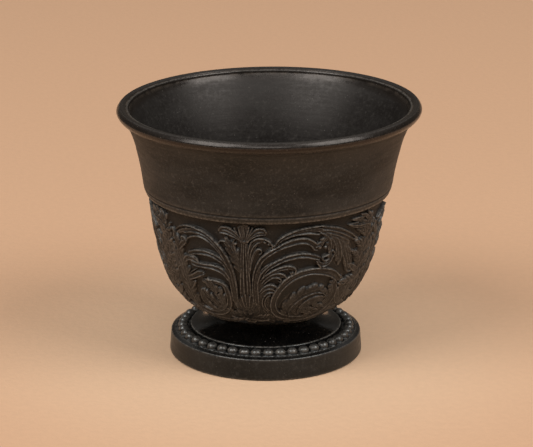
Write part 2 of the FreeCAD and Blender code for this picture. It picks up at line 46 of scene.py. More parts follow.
SEAT_HEIGHT = 14.6
CUP_PROFILE = (
    # base, bowl, ledge and collar
    (0, SEAT_HEIGHT, 0), (17.5, SEAT_HEIGHT, 0), (22.2, 16.2, 0), (33.68, 31.96, 1.61), (38.2, 56.1, 0.74),
    (40.3, 56.1, 0), (41.0, 57.9, 0), (40.85, 58.4, 0), (41.2, 58.8, 0), (43.55, 71.0, -0.2),
    (47.35, 80.8, -0.45),
    # rolled lip, with a fine ridge inside it
    (49.75, 82.6, 0.3), (50.0, 83.3, 0.04), (49.9, 83.85, 0.04), (49.05, 85.0, 0.06), (48.3, 85.2, 0.03),
    (47.25, 84.8, 0.1), (46.95, 84.4, 0), (46.7, 84.62, 0), (46.3, 84.5, 0.05), (46.0, 83.6, 0.05),
    # inside
    (39.35, 71.0, 0.35), (35.2, 56.1, 0.54), (30.68, 31.96, -0.43), (15.5, 20.2, -3.28), (0, 20.2, 0),
)
FOOT_PROFILE = (
    # hollow, resting ring and side
    (0, 8.6, 0), (13.0, 8.6, 0), (27.0, 0, -2.3), (31.7, 0, 0), (32.2, 0.6, 0.12), (31.72, 7.1, 0),
    # bead channel, ring inside it, cavetto and seat
    (30.0, 7.85, 0), (30.0, 7.4, 0), (25.6, 7.4, 0), (25.2, 9.36, 0), (17.5, SEAT_HEIGHT, -1.3),
    (0, SEAT_HEIGHT, 0),
)
BASE_EDGE, BELLY, NECK = CUP_PROFILE[2], CUP_PROFILE[3], CUP_PROFILE[4]

# Relief band: columns are degrees to the right of the front palmette's axis, and rows are hundredths of
# the way up the bowl, from its base edge to its neck. FRONT is the photo's side, in degrees from +x.

PALMETTE_AXIS = -11.0
FRONT = -90.0
REPEATS = 3
REPEAT_ANGLE = 360 / REPEATS

# A stroke is form(height, point, ...), and a point is (column, row, width). A cut's height is its depth,
# and it takes away from the strokes before it, so the order of strokes matters.


def stroke_form(name):
    """A function that writes down a stroke of that form."""
    return lambda height, *points: (name, height, points)


FORM_NAMES = ("leaf", "crest", "twin", "mound", "rod", "bead", "cut", "acanthus")
leaf, crest, twin, mound, rod, bead, cut, acanthus = map(stroke_form, FORM_NAMES)

PALMETTE = (
    leaf(0.55, (0, 20, 3.2), (-0.3, 34, 4.4), (-0.4, 46, 4), (-0.3, 62, 3.2), (0, 78, 2.6), (0, 87, 2.2)),
    rod(0.9, (-3.1, 40, 0.55), (-2.7, 50, 0.6), (-2.2, 62, 0.65), (-1.7, 76, 0.5), (-1.2, 86, 0.4)),
    rod(1, (-0.95, 42, 0.7), (-0.85, 55, 0.75), (-0.6, 70, 0.65), (-0.4, 87, 0.5)),
    rod(1, (1, 42, 0.7), (0.9, 55, 0.75), (0.7, 70, 0.65), (0.45, 87, 0.5)),
    rod(0.9, (2.8, 40, 0.55), (2.4, 50, 0.6), (2, 60, 0.6), (1.6, 72, 0.5), (1.15, 84, 0.4)),
    rod(0.95, (-1.9, 60, 0.7), (-1.6, 63.5, 1)),
    # fan
    leaf(0.6, (0, 84, 2), (-0.2, 90, 3.6), (-0.4, 95, 4.2)),
    twin(0.95, (-0.2, 85, 0.7), (-0.4, 91, 1.2), (-0.9, 97.2, 0.9)),
    rod(0.95, (-0.7, 86, 0.5), (-1.9, 91, 0.8), (-2.9, 96.5, 0.65)),
    rod(0.9, (-1, 86, 0.5), (-3.2, 91, 0.8), (-4.9, 95.6, 0.65)),
    rod(0.95, (0.4, 86, 0.5), (1.4, 91.5, 0.8), (2.3, 96.8, 0.65)),
    rod(0.95, (0.8, 86, 0.5), (2.4, 91.5, 0.8), (3.9, 96.4, 0.75)),
    leaf(0.62, (-0.8, 86, 1.4), (-4.6, 90.4, 2.4), (-8.2, 92.9, 3), (-11.4, 93, 2.2)),
    rod(1.05, (-1.2, 86.8, 0.4), (-4.4, 92.2, 0.6), (-7.2, 95, 0.75), (-9.6, 95.8, 0.8), (-11.6, 94.9, 0.75),
        (-12.9, 92.2, 0.5)),
    rod(0.95, (-1.4, 86.4, 0.4), (-5, 90.4, 0.55), (-8.6, 92.9, 0.7), (-11, 93, 0.5)),
    rod(0.95, (-2, 86.2, 0.4), (-5.4, 88.7, 0.55), (-9, 90.4, 0.65), (-12.2, 90.7, 0.5)),
    cut(0.45, (-5.9, 94.4, 0.4), (-6.3, 95.8, 0.4)),
    cut(0.4, (-2.4, 89.5, 0.3), (-3.3, 94, 0.3)),
    leaf(0.62, (0.8, 86, 1.4), (3.6, 90.4, 2.4), (6.6, 93.3, 2.9), (9.4, 93.2, 2)),
    rod(1.05, (1, 86.6, 0.4), (3.4, 91.7, 0.6), (5.4, 95, 0.75), (7.4, 95.9, 0.85), (9.4, 95.2, 0.8),
        (10.4, 92.8, 0.55)),
    rod(0.95, (1.4, 86.4, 0.4), (4.6, 90.8, 0.55), (7.4, 93.1, 0.75), (9.2, 92.8, 0.5)),
    rod(0.9, (1.8, 86.2, 0.4), (4.8, 89.3, 0.5), (7.6, 90.8, 0.6), (10, 91, 0.45)),
    bead(0.95, (-1.4, 85.6, 1)),
    bead(1, (0, 85.2, 1)),
    bead(0.95, (1.5, 85.8, 1)),
    # lobed leaf on the left of the stem
    acanthus(0.9, (-1.5, 57, 2), (-3.2, 66, 4.2), (-5.3, 75, 5), (-7.6, 82, 4.2), (-9.2, 86.6, 1.6)),
    rod(1, (-3.2, 69, 0.4), (-5.6, 78, 0.6), (-8, 83.2, 0.7), (-9.4, 86, 0.55)),
    rod(1, (-2.8, 70, 0.4), (-4.3, 77, 0.65), (-5.4, 84.4, 0.7), (-5, 86.6, 0.5)),
    rod(0.9, (-8.2, 83.4, 0.7), (-10.4, 84.6, 0.7), (-12.4, 84, 0.6), (-13.6, 81.2, 0.45)),
    cut(0.35, (-6, 76.8, 0.3), (-7, 80.5, 0.35)),
    bead(0.9, (-4.3, 83.4, 0.9)),
    # hooked leaves on the right of the stem
    leaf(0.5, (1.6, 60, 1.4), (2.4, 72, 1.9), (3.8, 80, 2), (6, 84.8, 1.7), (8.8, 86.6, 1.2)),
    rod(0.95, (1.6, 58, 0.5), (1.7, 72, 0.6), (2.1, 79.6, 0.75), (3.5, 85.2, 0.8), (6, 87.8, 0.85),
        (8.8, 88, 0.85), (11.2, 86.5, 0.8), (13.1, 83.4, 0.75), (13.5, 80.6, 0.6)),
    rod(0.9, (2.2, 62, 0.4), (2.7, 74, 0.6), (3.9, 80.4, 0.65), (5.7, 83.8, 0.6), (7.4, 85.2, 0.4)),
    leaf(0.5, (2, 60, 1.2), (3.1, 70, 1.4), (5, 77, 1.1), (7.2, 79.2, 0.8)),
    rod(0.95, (2.6, 62, 0.4), (3.5, 72, 0.55), (5, 77.8, 0.65), (6.8, 80, 0.7), (8.1, 79, 0.6),
        (8.2, 76.6, 0.5), (7.1, 75.6, 0.45)),
    bead(0.85, (9.8, 85.2, 0.8)),
    bead(0.85, (11.6, 83.6, 0.8)),
    bead(0.85, (12.4, 81, 0.8)),
    bead(0.9, (14.2, 82.4, 0.8)),
    bead(0.9, (14.1, 79.8, 0.8)),
    # shell at the root
    mound(0.8, (0, 24, 6.2), (-0.2, 33, 6.4), (-0.1, 39, 3.6)),
    rod(1.08, (0.1, 26, 0.6), (-0.3, 33, 0.8), (-0.5, 41.8, 0.85)),
    rod(1.05, (-0.4, 26, 0.6), (-1.7, 32, 0.75), (-2.5, 39.2, 0.8)),
    rod(1.05, (0.5, 26, 0.6), (1.4, 32, 0.75), (2, 39.8, 0.8)),
    rod(1, (-0.8, 25, 0.5), (-3.1, 29, 0.7), (-4.2, 33.8, 0.8)),
    rod(1, (0.9, 25, 0.5), (3, 30.5, 0.7), (3.9, 37.4, 0.8)),
    rod(1.05, (-2.8, 24.4, 0.5), (-1.2, 26.6, 0.8), (0.8, 26.4, 0.8), (2.6, 24.8, 0.5)),
    rod(1.1, (-2, 23.4, 1.2), (-1.5, 20.8, 1.3)),
    rod(1.1, (2.9, 24, 1.1), (1.3, 21.4, 1.3)),
    acanthus(0.95, (0, 14, 3), (-1.6, 21, 5.6), (-3.2, 29, 5), (-4.6, 36, 1.6)),
    acanthus(0.95, (0.6, 14, 3), (2.4, 21, 5.2), (3.6, 28, 4.4), (4.6, 34, 1.4)),
    acanthus(0.85, (-1.5, 19, 2.2), (-5.2, 18.6, 3.8), (-9.4, 20.5, 3.2), (-12.6, 25, 1.2)),
    acanthus(0.85, (1.6, 19, 2.2), (5.4, 17.4, 3.6), (9.4, 17.6, 3), (12.4, 20.5, 1.2)),
    rod(0.95, (-2.2, 16.4, 0.5), (-5, 14.6, 0.9), (-8.4, 14.2, 1), (-12, 15.6, 0.6)),
    rod(0.95, (2.8, 16, 0.5), (5.6, 13.6, 0.9), (9.2, 12.6, 1), (13, 13.2, 0.6)),
    mound(0.6, (-1, 12.9, 2.3), (3.2, 12.9, 2.3)),
    rod(0.95, (-2.6, 13.8, 0.6), (-1.4, 11.2, 0.65), (1, 10.2, 0.65), (3.6, 10.8, 0.65), (4.9, 13.6, 0.6)),
    rod(1.05, (-2.7, 13.4, 0.8), (-1.3, 15.4, 0.9), (0.2, 16, 0.7)),
    rod(1.05, (0.6, 14.6, 0.6), (2.3, 15.6, 0.9), (4.4, 14.2, 0.7)),
    cut(0.4, (0, 13.2, 0.4), (2.6, 13, 0.4)),
)

SPRAY_RIGHT = (
    # outermost leaf
    leaf(0.6, (14.4, 81, 0.9), (17, 86, 1.6), (22, 90.4, 2.2), (28, 92.5, 2.4), (34, 92.6, 2.2),
        (38, 91.8, 1.4)),
    rod(1.12, (14.3, 82, 0.6), (16.4, 87.1, 0.8), (20, 90.8, 0.8), (25, 93.7, 0.75), (30, 94.9, 0.7),
        (36, 95.2, 0.7), (40, 94.4, 0.5)),
    rod(1.02, (16, 84.2, 0.5), (19, 87.6, 0.6), (23.5, 89.9, 0.7), (28, 90.5, 0.7), (32, 90.2, 0.85),
        (36.2, 88.8, 0.7)),
    rod(0.82, (18, 88, 0.35), (22, 91.2, 0.4), (28, 92.8, 0.4), (36, 92.9, 0.35)),
    # second leaf, from the root
    leaf(0.58, (5.9, 31, 1.5), (5, 44, 1.8), (5.3, 56, 1.9), (7.4, 68.5, 2.1), (11, 75.6, 2.3),
        (16, 80.3, 2.5), (22, 84.2, 2.6), (28, 85.4, 2.5), (32, 83.2, 1.9), (35.4, 78.6, 1.2)),
    rod(1.12, (4, 34, 0.6), (3.6, 48, 0.6), (4.4, 60, 0.65), (7, 70.5, 0.7), (11, 77, 0.8), (15.5, 81, 0.85),
        (19, 84.2, 0.85), (23, 86.4, 0.85), (27.5, 87.2, 0.85), (31, 86, 0.85), (34, 83.2, 0.75),
        (36, 80.6, 0.5)),
    rod(1, (6.2, 62, 0.5), (9, 70.5, 0.6), (12.8, 75.6, 0.7), (16.6, 79.2, 0.75), (21, 81.8, 0.75),
        (26, 83.2, 0.75), (30, 82.6, 0.75), (32.8, 80.2, 0.7), (34.2, 77.4, 0.65), (36, 76.4, 0.5)),
    rod(0.85, (5, 34, 0.5), (4.7, 50, 0.5), (6, 62, 0.5), (9.5, 71, 0.45), (15, 78, 0.4)),
    rod(0.95, (6.9, 34, 0.55), (6.4, 45, 0.55), (6.6, 54, 0.5), (7.8, 61, 0.4)),
    # third leaf
    leaf(0.56, (5, 46, 1.5), (6.8, 57, 1.7), (10, 63.5, 1.9), (15, 68.4, 2.1), (21, 71.9, 2.3),
        (27, 73.3, 2.3), (32, 72.4, 1.9), (37.6, 69.3, 1.2)),
    rod(1.08, (6.3, 52, 0.6), (8, 59.4, 0.65), (11, 65, 0.7), (15, 69.6, 0.75), (20, 73.2, 0.8),
        (25, 74.9, 0.8), (30, 74.8, 0.8), (34, 73.2, 0.75), (38, 70.4, 0.6)),
    rod(0.98, (8.6, 56, 0.5), (11, 62.4, 0.6), (15.5, 67, 0.7), (20, 70.2, 0.7), (26, 72, 0.7),
        (31, 71.4, 0.7), (34.4, 70, 0.65), (38, 68, 0.5)),
    # short curled leaves
    leaf(0.55, (5.4, 44, 1.4), (8.2, 54, 1.7), (12, 59.8, 1.9), (17, 63.4, 2.1), (21.5, 64.2, 1.6),
        (24.6, 62.2, 1)),
    rod(1.1, (7.6, 54, 0.5), (9.6, 57.6, 0.6), (13, 61.4, 0.7), (17, 64.6, 0.75), (20.6, 65.9, 0.8),
        (23.6, 65.2, 0.8), (25.5, 62.6, 0.75), (25.4, 59.8, 0.65), (23.8, 58.4, 0.6), (22.9, 60, 0.5)),
    rod(0.92, (11, 58, 0.4), (14.5, 61.2, 0.55), (18, 62.8, 0.6), (21.4, 63.2, 0.5)),
    bead(1.02, (24, 60.2, 0.85)),
    leaf(0.54, (5.4, 42, 1.4), (8.6, 51.2, 1.7), (12.8, 56.8, 2.1), (16.8, 58, 1.8), (19.6, 56.4, 1)),
    rod(1.05, (8.2, 51.5, 0.5), (11, 56.4, 0.6), (14, 59.4, 0.7), (17, 60.2, 0.8), (19.6, 58.8, 0.8),
        (21.2, 55.8, 0.55)),
    rod(0.98, (9.2, 50.4, 0.5), (11.4, 53.8, 0.6), (14, 56.4, 0.7), (16.6, 56.4, 0.75), (18.4, 54.4, 0.7),
        (18.2, 52.6, 0.55), (17.2, 53.4, 0.45)),
    leaf(0.54, (5.8, 37, 1.4), (8.2, 44.6, 1.6), (11.4, 48.2, 2), (14.6, 48.2, 1.4), (16.6, 46.2, 0.8)),
    rod(1.05, (7.2, 44, 0.5), (9.4, 48.2, 0.6), (12, 50.4, 0.75), (14.6, 50, 0.8), (16.8, 47.6, 0.6)),
    rod(0.92, (7.8, 42.6, 0.45), (10.4, 46, 0.55), (13.4, 47, 0.6), (15.6, 44.8, 0.5)),
    leaf(0.52, (6, 35, 1.3), (7.9, 39.6, 1.5), (10.4, 42, 1.6), (13, 42.2, 1)),
    rod(0.98, (14.6, 43.4, 0.6), (12.4, 43.6, 0.7), (10.2, 41.2, 0.7), (8.9, 37, 0.65), (8.9, 32, 0.6),
        (10.2, 28, 0.6), (12.4, 25.4, 0.5)),
    rod(0.9, (13.2, 40.6, 0.5), (11.6, 40, 0.6), (10.4, 36.6, 0.6), (10.3, 32, 0.55), (11.4, 28.2, 0.55),
        (13, 26, 0.45)),
    leaf(0.5, (6.2, 36, 1.5), (8.6, 34, 1.8), (9.8, 30, 1.8), (11.6, 26.2, 1.2)),
    # strands that fill the place between its root and the scroll
    leaf(0.44, (6.6, 53, 2.2), (8.8, 44, 3.8), (9.4, 35, 4.4), (11, 26, 4.4), (14.8, 18.4, 3.8),
        (20.6, 12.4, 2.8), (27, 9.4, 1.4)),
    leaf(0.5, (8.6, 49, 1.4), (12.4, 46.6, 2), (15.6, 43.2, 1.6)),
    leaf(0.44, (4.4, 30, 1.8), (6.8, 22, 2.6), (10.6, 14.4, 2.6), (16, 9, 1.8)),
)

SCROLL_RIGHT = (
    leaf(0.75, (24, 10, 0.9), (32, 9, 2.2), (41, 9.5, 2.6), (49, 13.5, 2.4), (55, 21, 1)),
    # oval ring
    leaf(0.55, (53.4, 47, 1.2), (50.6, 51, 2.2), (46, 55.4, 2.6), (40, 58, 2.8), (34, 59.2, 2.8),
        (28, 57.9, 2.7), (22.5, 53.8, 2.5), (18.1, 46.5, 2.4), (15.6, 38, 2.3), (15, 31, 2.2),
        (16.6, 24, 2.2), (21, 18.6, 2.2), (28, 15.2, 1.9), (35.4, 14.6, 1.2)),
    rod(1.1, (53.8, 48.6, 0.6), (51.6, 52.6, 0.75), (47, 57.6, 0.8), (41, 60.6, 0.85), (34, 61.7, 0.85),
        (27, 60, 0.85), (21, 55, 0.8), (17.4, 48.6, 0.75), (14.4, 40, 0.7), (13.6, 31, 0.7), (15.2, 23, 0.7),
        (20, 16.9, 0.75), (27, 13.5, 0.6)),
    rod(1, (51.6, 46.2, 0.6), (49.8, 48.6, 0.65), (45.4, 52.8, 0.7), (39, 56, 0.7), (33, 57, 0.7),
        (27.6, 55.2, 0.7), (23.4, 51.6, 0.7), (19.6, 46, 0.7), (16.9, 38.4, 0.65), (16.4, 31, 0.65),
        (18, 25, 0.7), (22.4, 20.2, 0.8), (29, 17, 0.8), (36, 16.2, 0.6)),
    rod(0.8, (49.4, 51.6, 0.35), (44, 56, 0.4), (38, 58.5, 0.4), (31, 58.8, 0.4), (25, 56, 0.4),
        (20, 50, 0.35)),
    # leaf that grows inside it
    leaf(0.5, (28, 14.5, 2.6), (27, 23, 3.4), (29.4, 30.4, 3.6), (35, 35.6, 3.2), (41, 36.4, 2.4),
        (46, 33.6, 1.2)),
    acanthus(0.86, (24.6, 15, 2.8), (22.8, 24, 4), (25.2, 33, 4.8), (31, 40.2, 5.2), (38, 43.2, 4.6),
        (43.6, 41.2, 3.2), (47.4, 36.6, 1.2)),
    rod(1.12, (26.2, 16, 0.5), (24.8, 24, 0.6), (27, 31.8, 0.65), (32, 37.6, 0.65), (38, 40.2, 0.6),
        (43.4, 38.6, 0.5), (46.4, 35.6, 0.4)),
    # second leaf, rolled under the first
    acanthus(0.95, (31.2, 19, 2.6), (33.2, 26.4, 4), (38, 31, 4.6), (43, 32.6, 3.6), (47.2, 34.6, 1.4)),
    crest(0.85, (31.6, 22, 1.4), (31.8, 28.4, 1.6), (35, 33.4, 1.6), (40, 35.6, 1.4), (44.6, 35.4, 0.9)),
    leaf(0.8, (33.8, 23, 1.7), (37.8, 20.4, 2), (41.6, 16.4, 1.1)),
    leaf(0.8, (36.8, 25.6, 1.7), (41.6, 22.8, 2), (46, 18.6, 1.1)),
    leaf(0.8, (40.4, 28, 1.6), (45, 26.2, 1.8), (49, 22.4, 0.9)),
    cut(0.55, (34.8, 18.6, 0.9), (36.6, 17.8, 0.6)),
    cut(0.5, (39.6, 22.8, 0.5), (42.2, 20.8, 0.4)),
    cut(0.5, (44.4, 24.4, 0.5), (46, 22.6, 0.4)),
    # broad strand that closes the ring on the right
    leaf(0.6, (49, 46, 1.8), (51, 40, 3), (51.2, 32, 3.8), (48.8, 24.6, 4), (43.6, 18, 3.6),
        (36.6, 13.4, 2.8), (29, 11.6, 1.6)),
    rod(1.05, (51.2, 46, 0.5), (52.9, 39, 0.65), (52.9, 31, 0.7), (50.4, 23, 0.7), (45, 15.6, 0.65),
        (37.6, 11.2, 0.5)),
    acanthus(0.9, (49, 46.2, 2.4), (48.6, 42.4, 2.6), (48.4, 38.4, 1.2)),
    # strands outside it
    leaf(0.52, (54.6, 49, 1.4), (56.6, 41, 2.4), (56.6, 32, 2.8), (54.2, 23.6, 3), (49.8, 17, 2.6),
        (44, 12.6, 1.4)),
    leaf(0.46, (59.6, 44, 1.4), (60.8, 35, 2.2), (60.2, 25.6, 2.6), (57.4, 17, 2.4), (53, 11.6, 1.4)),
)

CASCADE = (
    # ribbons
    leaf(0.6, (37.4, 91.4, 1.6), (42, 89.8, 2.8), (47, 87, 3.2), (52, 84.2, 2.6), (56, 81.4, 1.8),
        (59.3, 79.4, 1)),
    rod(1.08, (38, 94.2, 0.5), (43, 93, 0.7), (48, 90.4, 0.75), (52.6, 87, 0.75), (56.6, 83.2, 0.75),
        (59.4, 79.8, 0.7)),
    rod(0.98, (38.4, 91.6, 0.45), (43, 90.2, 0.6), (48, 87.2, 0.65), (53, 83.4, 0.65), (58, 78.8, 0.6)),
    rod(0.98, (39.6, 89.2, 0.45), (44, 87.2, 0.6), (49, 83.8, 0.65), (54.4, 79.2, 0.6)),
    rod(0.9, (40.6, 87.4, 0.4), (45, 84.6, 0.55), (49.4, 80.6, 0.55), (52.6, 76.4, 0.45)),
    bead(1.1, (59.2, 79.4, 1.3)),
    leaf(0.58, (38.5, 90.4, 1.8), (41.6, 86.5, 2.4), (43.4, 81, 2.5), (43.8, 75, 2.3), (43.6, 70, 1.9)),
    rod(1.02, (37, 89.6, 0.5), (40.2, 87.4, 0.7), (42.4, 83.6, 0.75), (43.4, 78.4, 0.75), (43, 72.6, 0.6)),
    rod(0.92, (39.4, 90.6, 0.45), (42.6, 86.8, 0.6), (44.6, 81.6, 0.6), (45, 76, 0.5)),
    bead(1, (43, 83.6, 1.2)),
    acanthus(0.86, (42, 88, 1.8), (39.8, 84.8, 2.8), (37.6, 81, 2.4), (35.6, 78.6, 1)),
    acanthus(0.82, (43.4, 84, 1.6), (41.8, 80.8, 2.2), (40, 78, 1)),
    bead(1.05, (37, 78.8, 1.1)),
    bead(1.05, (40.4, 77.6, 1.1)),
    # curled leaf at its foot
    leaf(0.6, (43.7, 71, 1.8), (44.2, 67.2, 2.2), (42.4, 64.6, 2.2), (39.6, 64.2, 1.8), (37.2, 66.4, 1)),
    rod(1.1, (43.4, 72, 0.7), (41.4, 70.9, 0.75), (39.6, 70.2, 0.75), (39.5, 68.2, 0.75), (41.2, 66.9, 0.75),
        (43.2, 67.8, 0.6)),
    rod(1.02, (45.4, 73.6, 0.7), (46.2, 71.6, 0.7), (44.8, 67.6, 0.7), (43.2, 63.6, 0.75), (40.2, 62.2, 0.75),
        (37.6, 64.4, 0.75), (36.4, 67.4, 0.5)),
    rod(0.92, (44.6, 66.2, 0.5), (42.4, 64.8, 0.55), (39.8, 64.6, 0.5)),
    bead(1, (38.6, 62.6, 0.9)),
    cut(0.55, (44.5, 62.2, 0.5), (45, 61.6, 0.4)),
    rod(1.05, (43.8, 73, 0.6), (44.8, 74.4, 0.7), (45.6, 72.6, 0.6)),
    # hanging fingers
    acanthus(0.74, (41.4, 88, 3), (45, 82, 4.8), (47.4, 75, 5), (49.4, 68, 3.8), (50.6, 61.6, 1.4)),
    acanthus(0.76, (47, 87, 3), (51.6, 78, 4.6), (55, 69, 4.6), (58, 60.4, 3.2), (61, 52.6, 1.2)),
    leaf(0.58, (43, 84, 2), (45.6, 78, 1.9), (47, 72, 1.6), (48.2, 66.4, 1)),
    rod(1.02, (44.8, 82, 0.5), (46.4, 76.6, 0.65), (46.9, 71.4, 0.65), (47.8, 67, 0.5)),
    rod(0.9, (46.2, 82, 0.4), (47.8, 76, 0.5), (48.4, 70, 0.45)),
    leaf(0.58, (45, 86, 2), (48.2, 78, 2), (50, 70.5, 1.6), (50.8, 63.4, 0.9)),
    rod(1.02, (46.8, 83.6, 0.5), (49.2, 77, 0.65), (50.6, 70.6, 0.65), (51, 64, 0.45)),
    rod(0.88, (48, 80, 0.35), (50.2, 73, 0.45), (51.8, 67.4, 0.4)),
    leaf(0.6, (47, 86, 1.8), (51, 77, 2), (53.3, 68, 2), (55.4, 60, 1.8), (57.8, 54.4, 1.2),
        (60.6, 52.6, 0.7)),
    rod(1.05, (51.4, 69, 0.5), (53.4, 64.6, 0.65), (55, 60, 0.7), (56, 55.6, 0.7), (58, 53, 0.7),
        (60.8, 52.2, 0.45)),
    rod(0.92, (51, 79, 0.4), (53.2, 71, 0.55), (55.6, 63.6, 0.6), (57.2, 57.4, 0.55), (59.6, 55, 0.4)),
    rod(0.88, (52.4, 77.6, 0.4), (55.2, 69.4, 0.5), (57.8, 62, 0.5), (59.4, 57.4, 0.4)),
    leaf(0.5, (53, 77, 1.6), (56, 69, 2.4), (58.4, 62, 2.2), (60, 57, 1.2)),
)

PLUME = (
    # trunk
    acanthus(0.72, (70.6, 18, 2.4), (70.4, 31, 4), (71.6, 44, 4.6), (72.6, 56, 4.6), (73, 68, 4),
        (73.8, 79, 2.8), (75.4, 88, 1)),
    acanthus(0.84, (65.5, 15, 3.2), (63, 26, 4.6), (63.4, 37, 5.6), (65.6, 47, 6.2), (66.6, 57, 6.8),
        (66.8, 68, 6.8), (68.4, 78, 6), (70, 87, 4.4), (73, 94, 1.2)),
    # leaves that turn to the left under the ledge
    leaf(0.76, (70, 84, 2.6), (66, 88, 3), (60, 89.2, 2.6), (54.2, 91, 1)),
    rod(1.12, (71.6, 84, 0.6), (68, 87.4, 0.75), (62, 88.6, 0.8), (56, 90.4, 0.7), (53.2, 91.6, 0.45)),
    leaf(0.74, (66, 89, 2), (62.4, 93, 2), (56.6, 94.2, 1)),
    leaf(0.76, (69.5, 89, 2), (66.8, 93.6, 1.7), (62.8, 96.2, 0.9)),
    leaf(0.76, (71.4, 88, 1.8), (70.2, 93.6, 1.6), (68, 96.4, 0.9)),
    cut(0.45, (63.8, 93.2, 0.35), (66, 91.6, 0.35)),
    cut(0.45, (60, 90.9, 0.3), (64, 90.2, 0.35)),
    cut(0.5, (60.6, 81.8, 0.5), (64.4, 79.2, 0.6), (67.4, 77, 0.4)),
    acanthus(0.92, (69, 80, 2.4), (65, 83.2, 2.8), (60.6, 85.2, 1.2)),
    # blunt leaves lower down
    acanthus(0.98, (67, 69, 3), (64.2, 73.8, 3.2), (60.4, 76.4, 1.6)),
    acanthus(0.94, (66.5, 60, 2.8), (63, 65, 2.8), (58.8, 69, 1.3)),
    leaf(0.78, (66, 51, 2.4), (62, 54.8, 2.4), (58.4, 58.4, 1.2)),
    acanthus(1, (66.5, 46, 3), (61.8, 44.4, 3.8), (57.4, 44.6, 3.4), (54, 43.6, 1.6)),
    cut(0.6, (56.2, 43.8, 0.65), (57.2, 43.6, 0.55)),
    cut(0.55, (62.8, 48.8, 0.8), (63.6, 50.4, 0.6)),
    # leaves that turn to the right
    acanthus(0.96, (68, 75, 2.4), (71.8, 81, 2.8), (76, 84, 1.1)),
    acanthus(0.94, (67.5, 65, 2.6), (72, 72, 3), (76, 75.6, 1.2)),
    acanthus(0.96, (67, 54, 2.6), (72, 61.4, 3), (76, 64.4, 1.2)),
    acanthus(0.94, (65, 43, 2.6), (71, 48.6, 3), (76, 50.8, 1.2)),
    # sweeping leaves at the foot
    leaf(0.64, (64.4, 22, 2.4), (58.6, 27, 2.8), (55.4, 34, 2.3), (54.6, 39, 1.1)),
    leaf(0.66, (63.6, 33, 2.2), (69.2, 30.2, 2.8), (74, 36.2, 1.2)),
    leaf(0.66, (64.6, 22, 2.6), (70, 17.6, 2.8), (76, 15, 1.3)),
    leaf(0.62, (65, 22, 2.3), (60, 18, 2.6), (53.6, 15.6, 1.3)),
    leaf(0.52, (66, 15, 1.6), (70, 10.4, 2.2), (76, 8.6, 1.4)),
)

SPRAY_LEFT = (
    leaf(0.58, (-6.3, 31, 1.6), (-6.6, 42, 2.3), (-7.3, 54, 2.6), (-9.2, 65, 2.5), (-12.4, 75, 2.3),
        (-16.2, 81.6, 2.4), (-21, 86.2, 2.7), (-27, 88.2, 2.4), (-33, 87.2, 1.8), (-38.3, 83.8, 1)),
    rod(1.12, (-5, 34, 0.55), (-5, 46, 0.6), (-5.8, 58, 0.65), (-8, 69, 0.75), (-11.4, 77.6, 0.85),
        (-15, 83.6, 0.85), (-19, 88, 0.8), (-24, 90.8, 0.8), (-30, 91.6, 0.75), (-35.6, 89.6, 0.6),
        (-39, 86.2, 0.45)),
    rod(1.02, (-8.6, 62, 0.45), (-11.4, 71.6, 0.65), (-15, 78.4, 0.7), (-20, 83.6, 0.75), (-25, 85, 0.75),
        (-30, 82.6, 0.65), (-31.6, 80.4, 0.5)),
    rod(0.95, (-6.6, 48, 0.45), (-7.8, 60, 0.5), (-11, 71.2, 0.6), (-14.4, 79.6, 0.65), (-20, 86, 0.7),
        (-27, 87.6, 0.75), (-33, 85.4, 0.6)),
    rod(0.9, (-7.9, 34, 0.5), (-8.1, 44, 0.55), (-8.8, 54, 0.5), (-10.4, 62, 0.4)),
    leaf(0.56, (-7.6, 60, 2), (-11, 67.4, 2), (-15.5, 70.9, 2.2), (-21, 72.5, 2.2), (-27, 71.5, 1.8),
        (-31.8, 69.3, 1)),
    rod(1.08, (-8.6, 63, 0.5), (-11.4, 69.2, 0.65), (-15.5, 72.6, 0.75), (-20.5, 74.2, 0.8),
        (-26, 73.6, 0.75), (-31.6, 70.8, 0.5)),
    rod(0.96, (-9.2, 60.8, 0.45), (-12.4, 66.8, 0.6), (-17, 70.2, 0.7), (-22, 71.2, 0.7), (-27.4, 70.2, 0.6),
        (-31.6, 68, 0.4)),
    leaf(0.56, (-6.6, 51, 2.3), (-10.2, 58.2, 2.5), (-15, 61.4, 2.6), (-21, 61.4, 2.5), (-27, 61.2, 1.9),
        (-31, 62, 1.1)),
    rod(1.1, (-8.4, 55, 0.5), (-11.2, 60.6, 0.7), (-15.4, 63.4, 0.85), (-20.6, 63.4, 0.85),
        (-26.4, 63.2, 0.7), (-30.6, 63.8, 0.5)),
    rod(0.98, (-8.8, 51.6, 0.45), (-12.2, 57.6, 0.65), (-17, 60.2, 0.75), (-22.6, 60.6, 0.75),
        (-27.6, 60, 0.6), (-31, 60.6, 0.4)),
    leaf(0.6, (-26, 63.8, 1), (-27.6, 66.4, 1.5), (-29.6, 68.8, 1)),
    rod(1.02, (-25.6, 63.6, 0.5), (-27.6, 66.6, 0.75), (-29.8, 69.2, 0.5)),
)

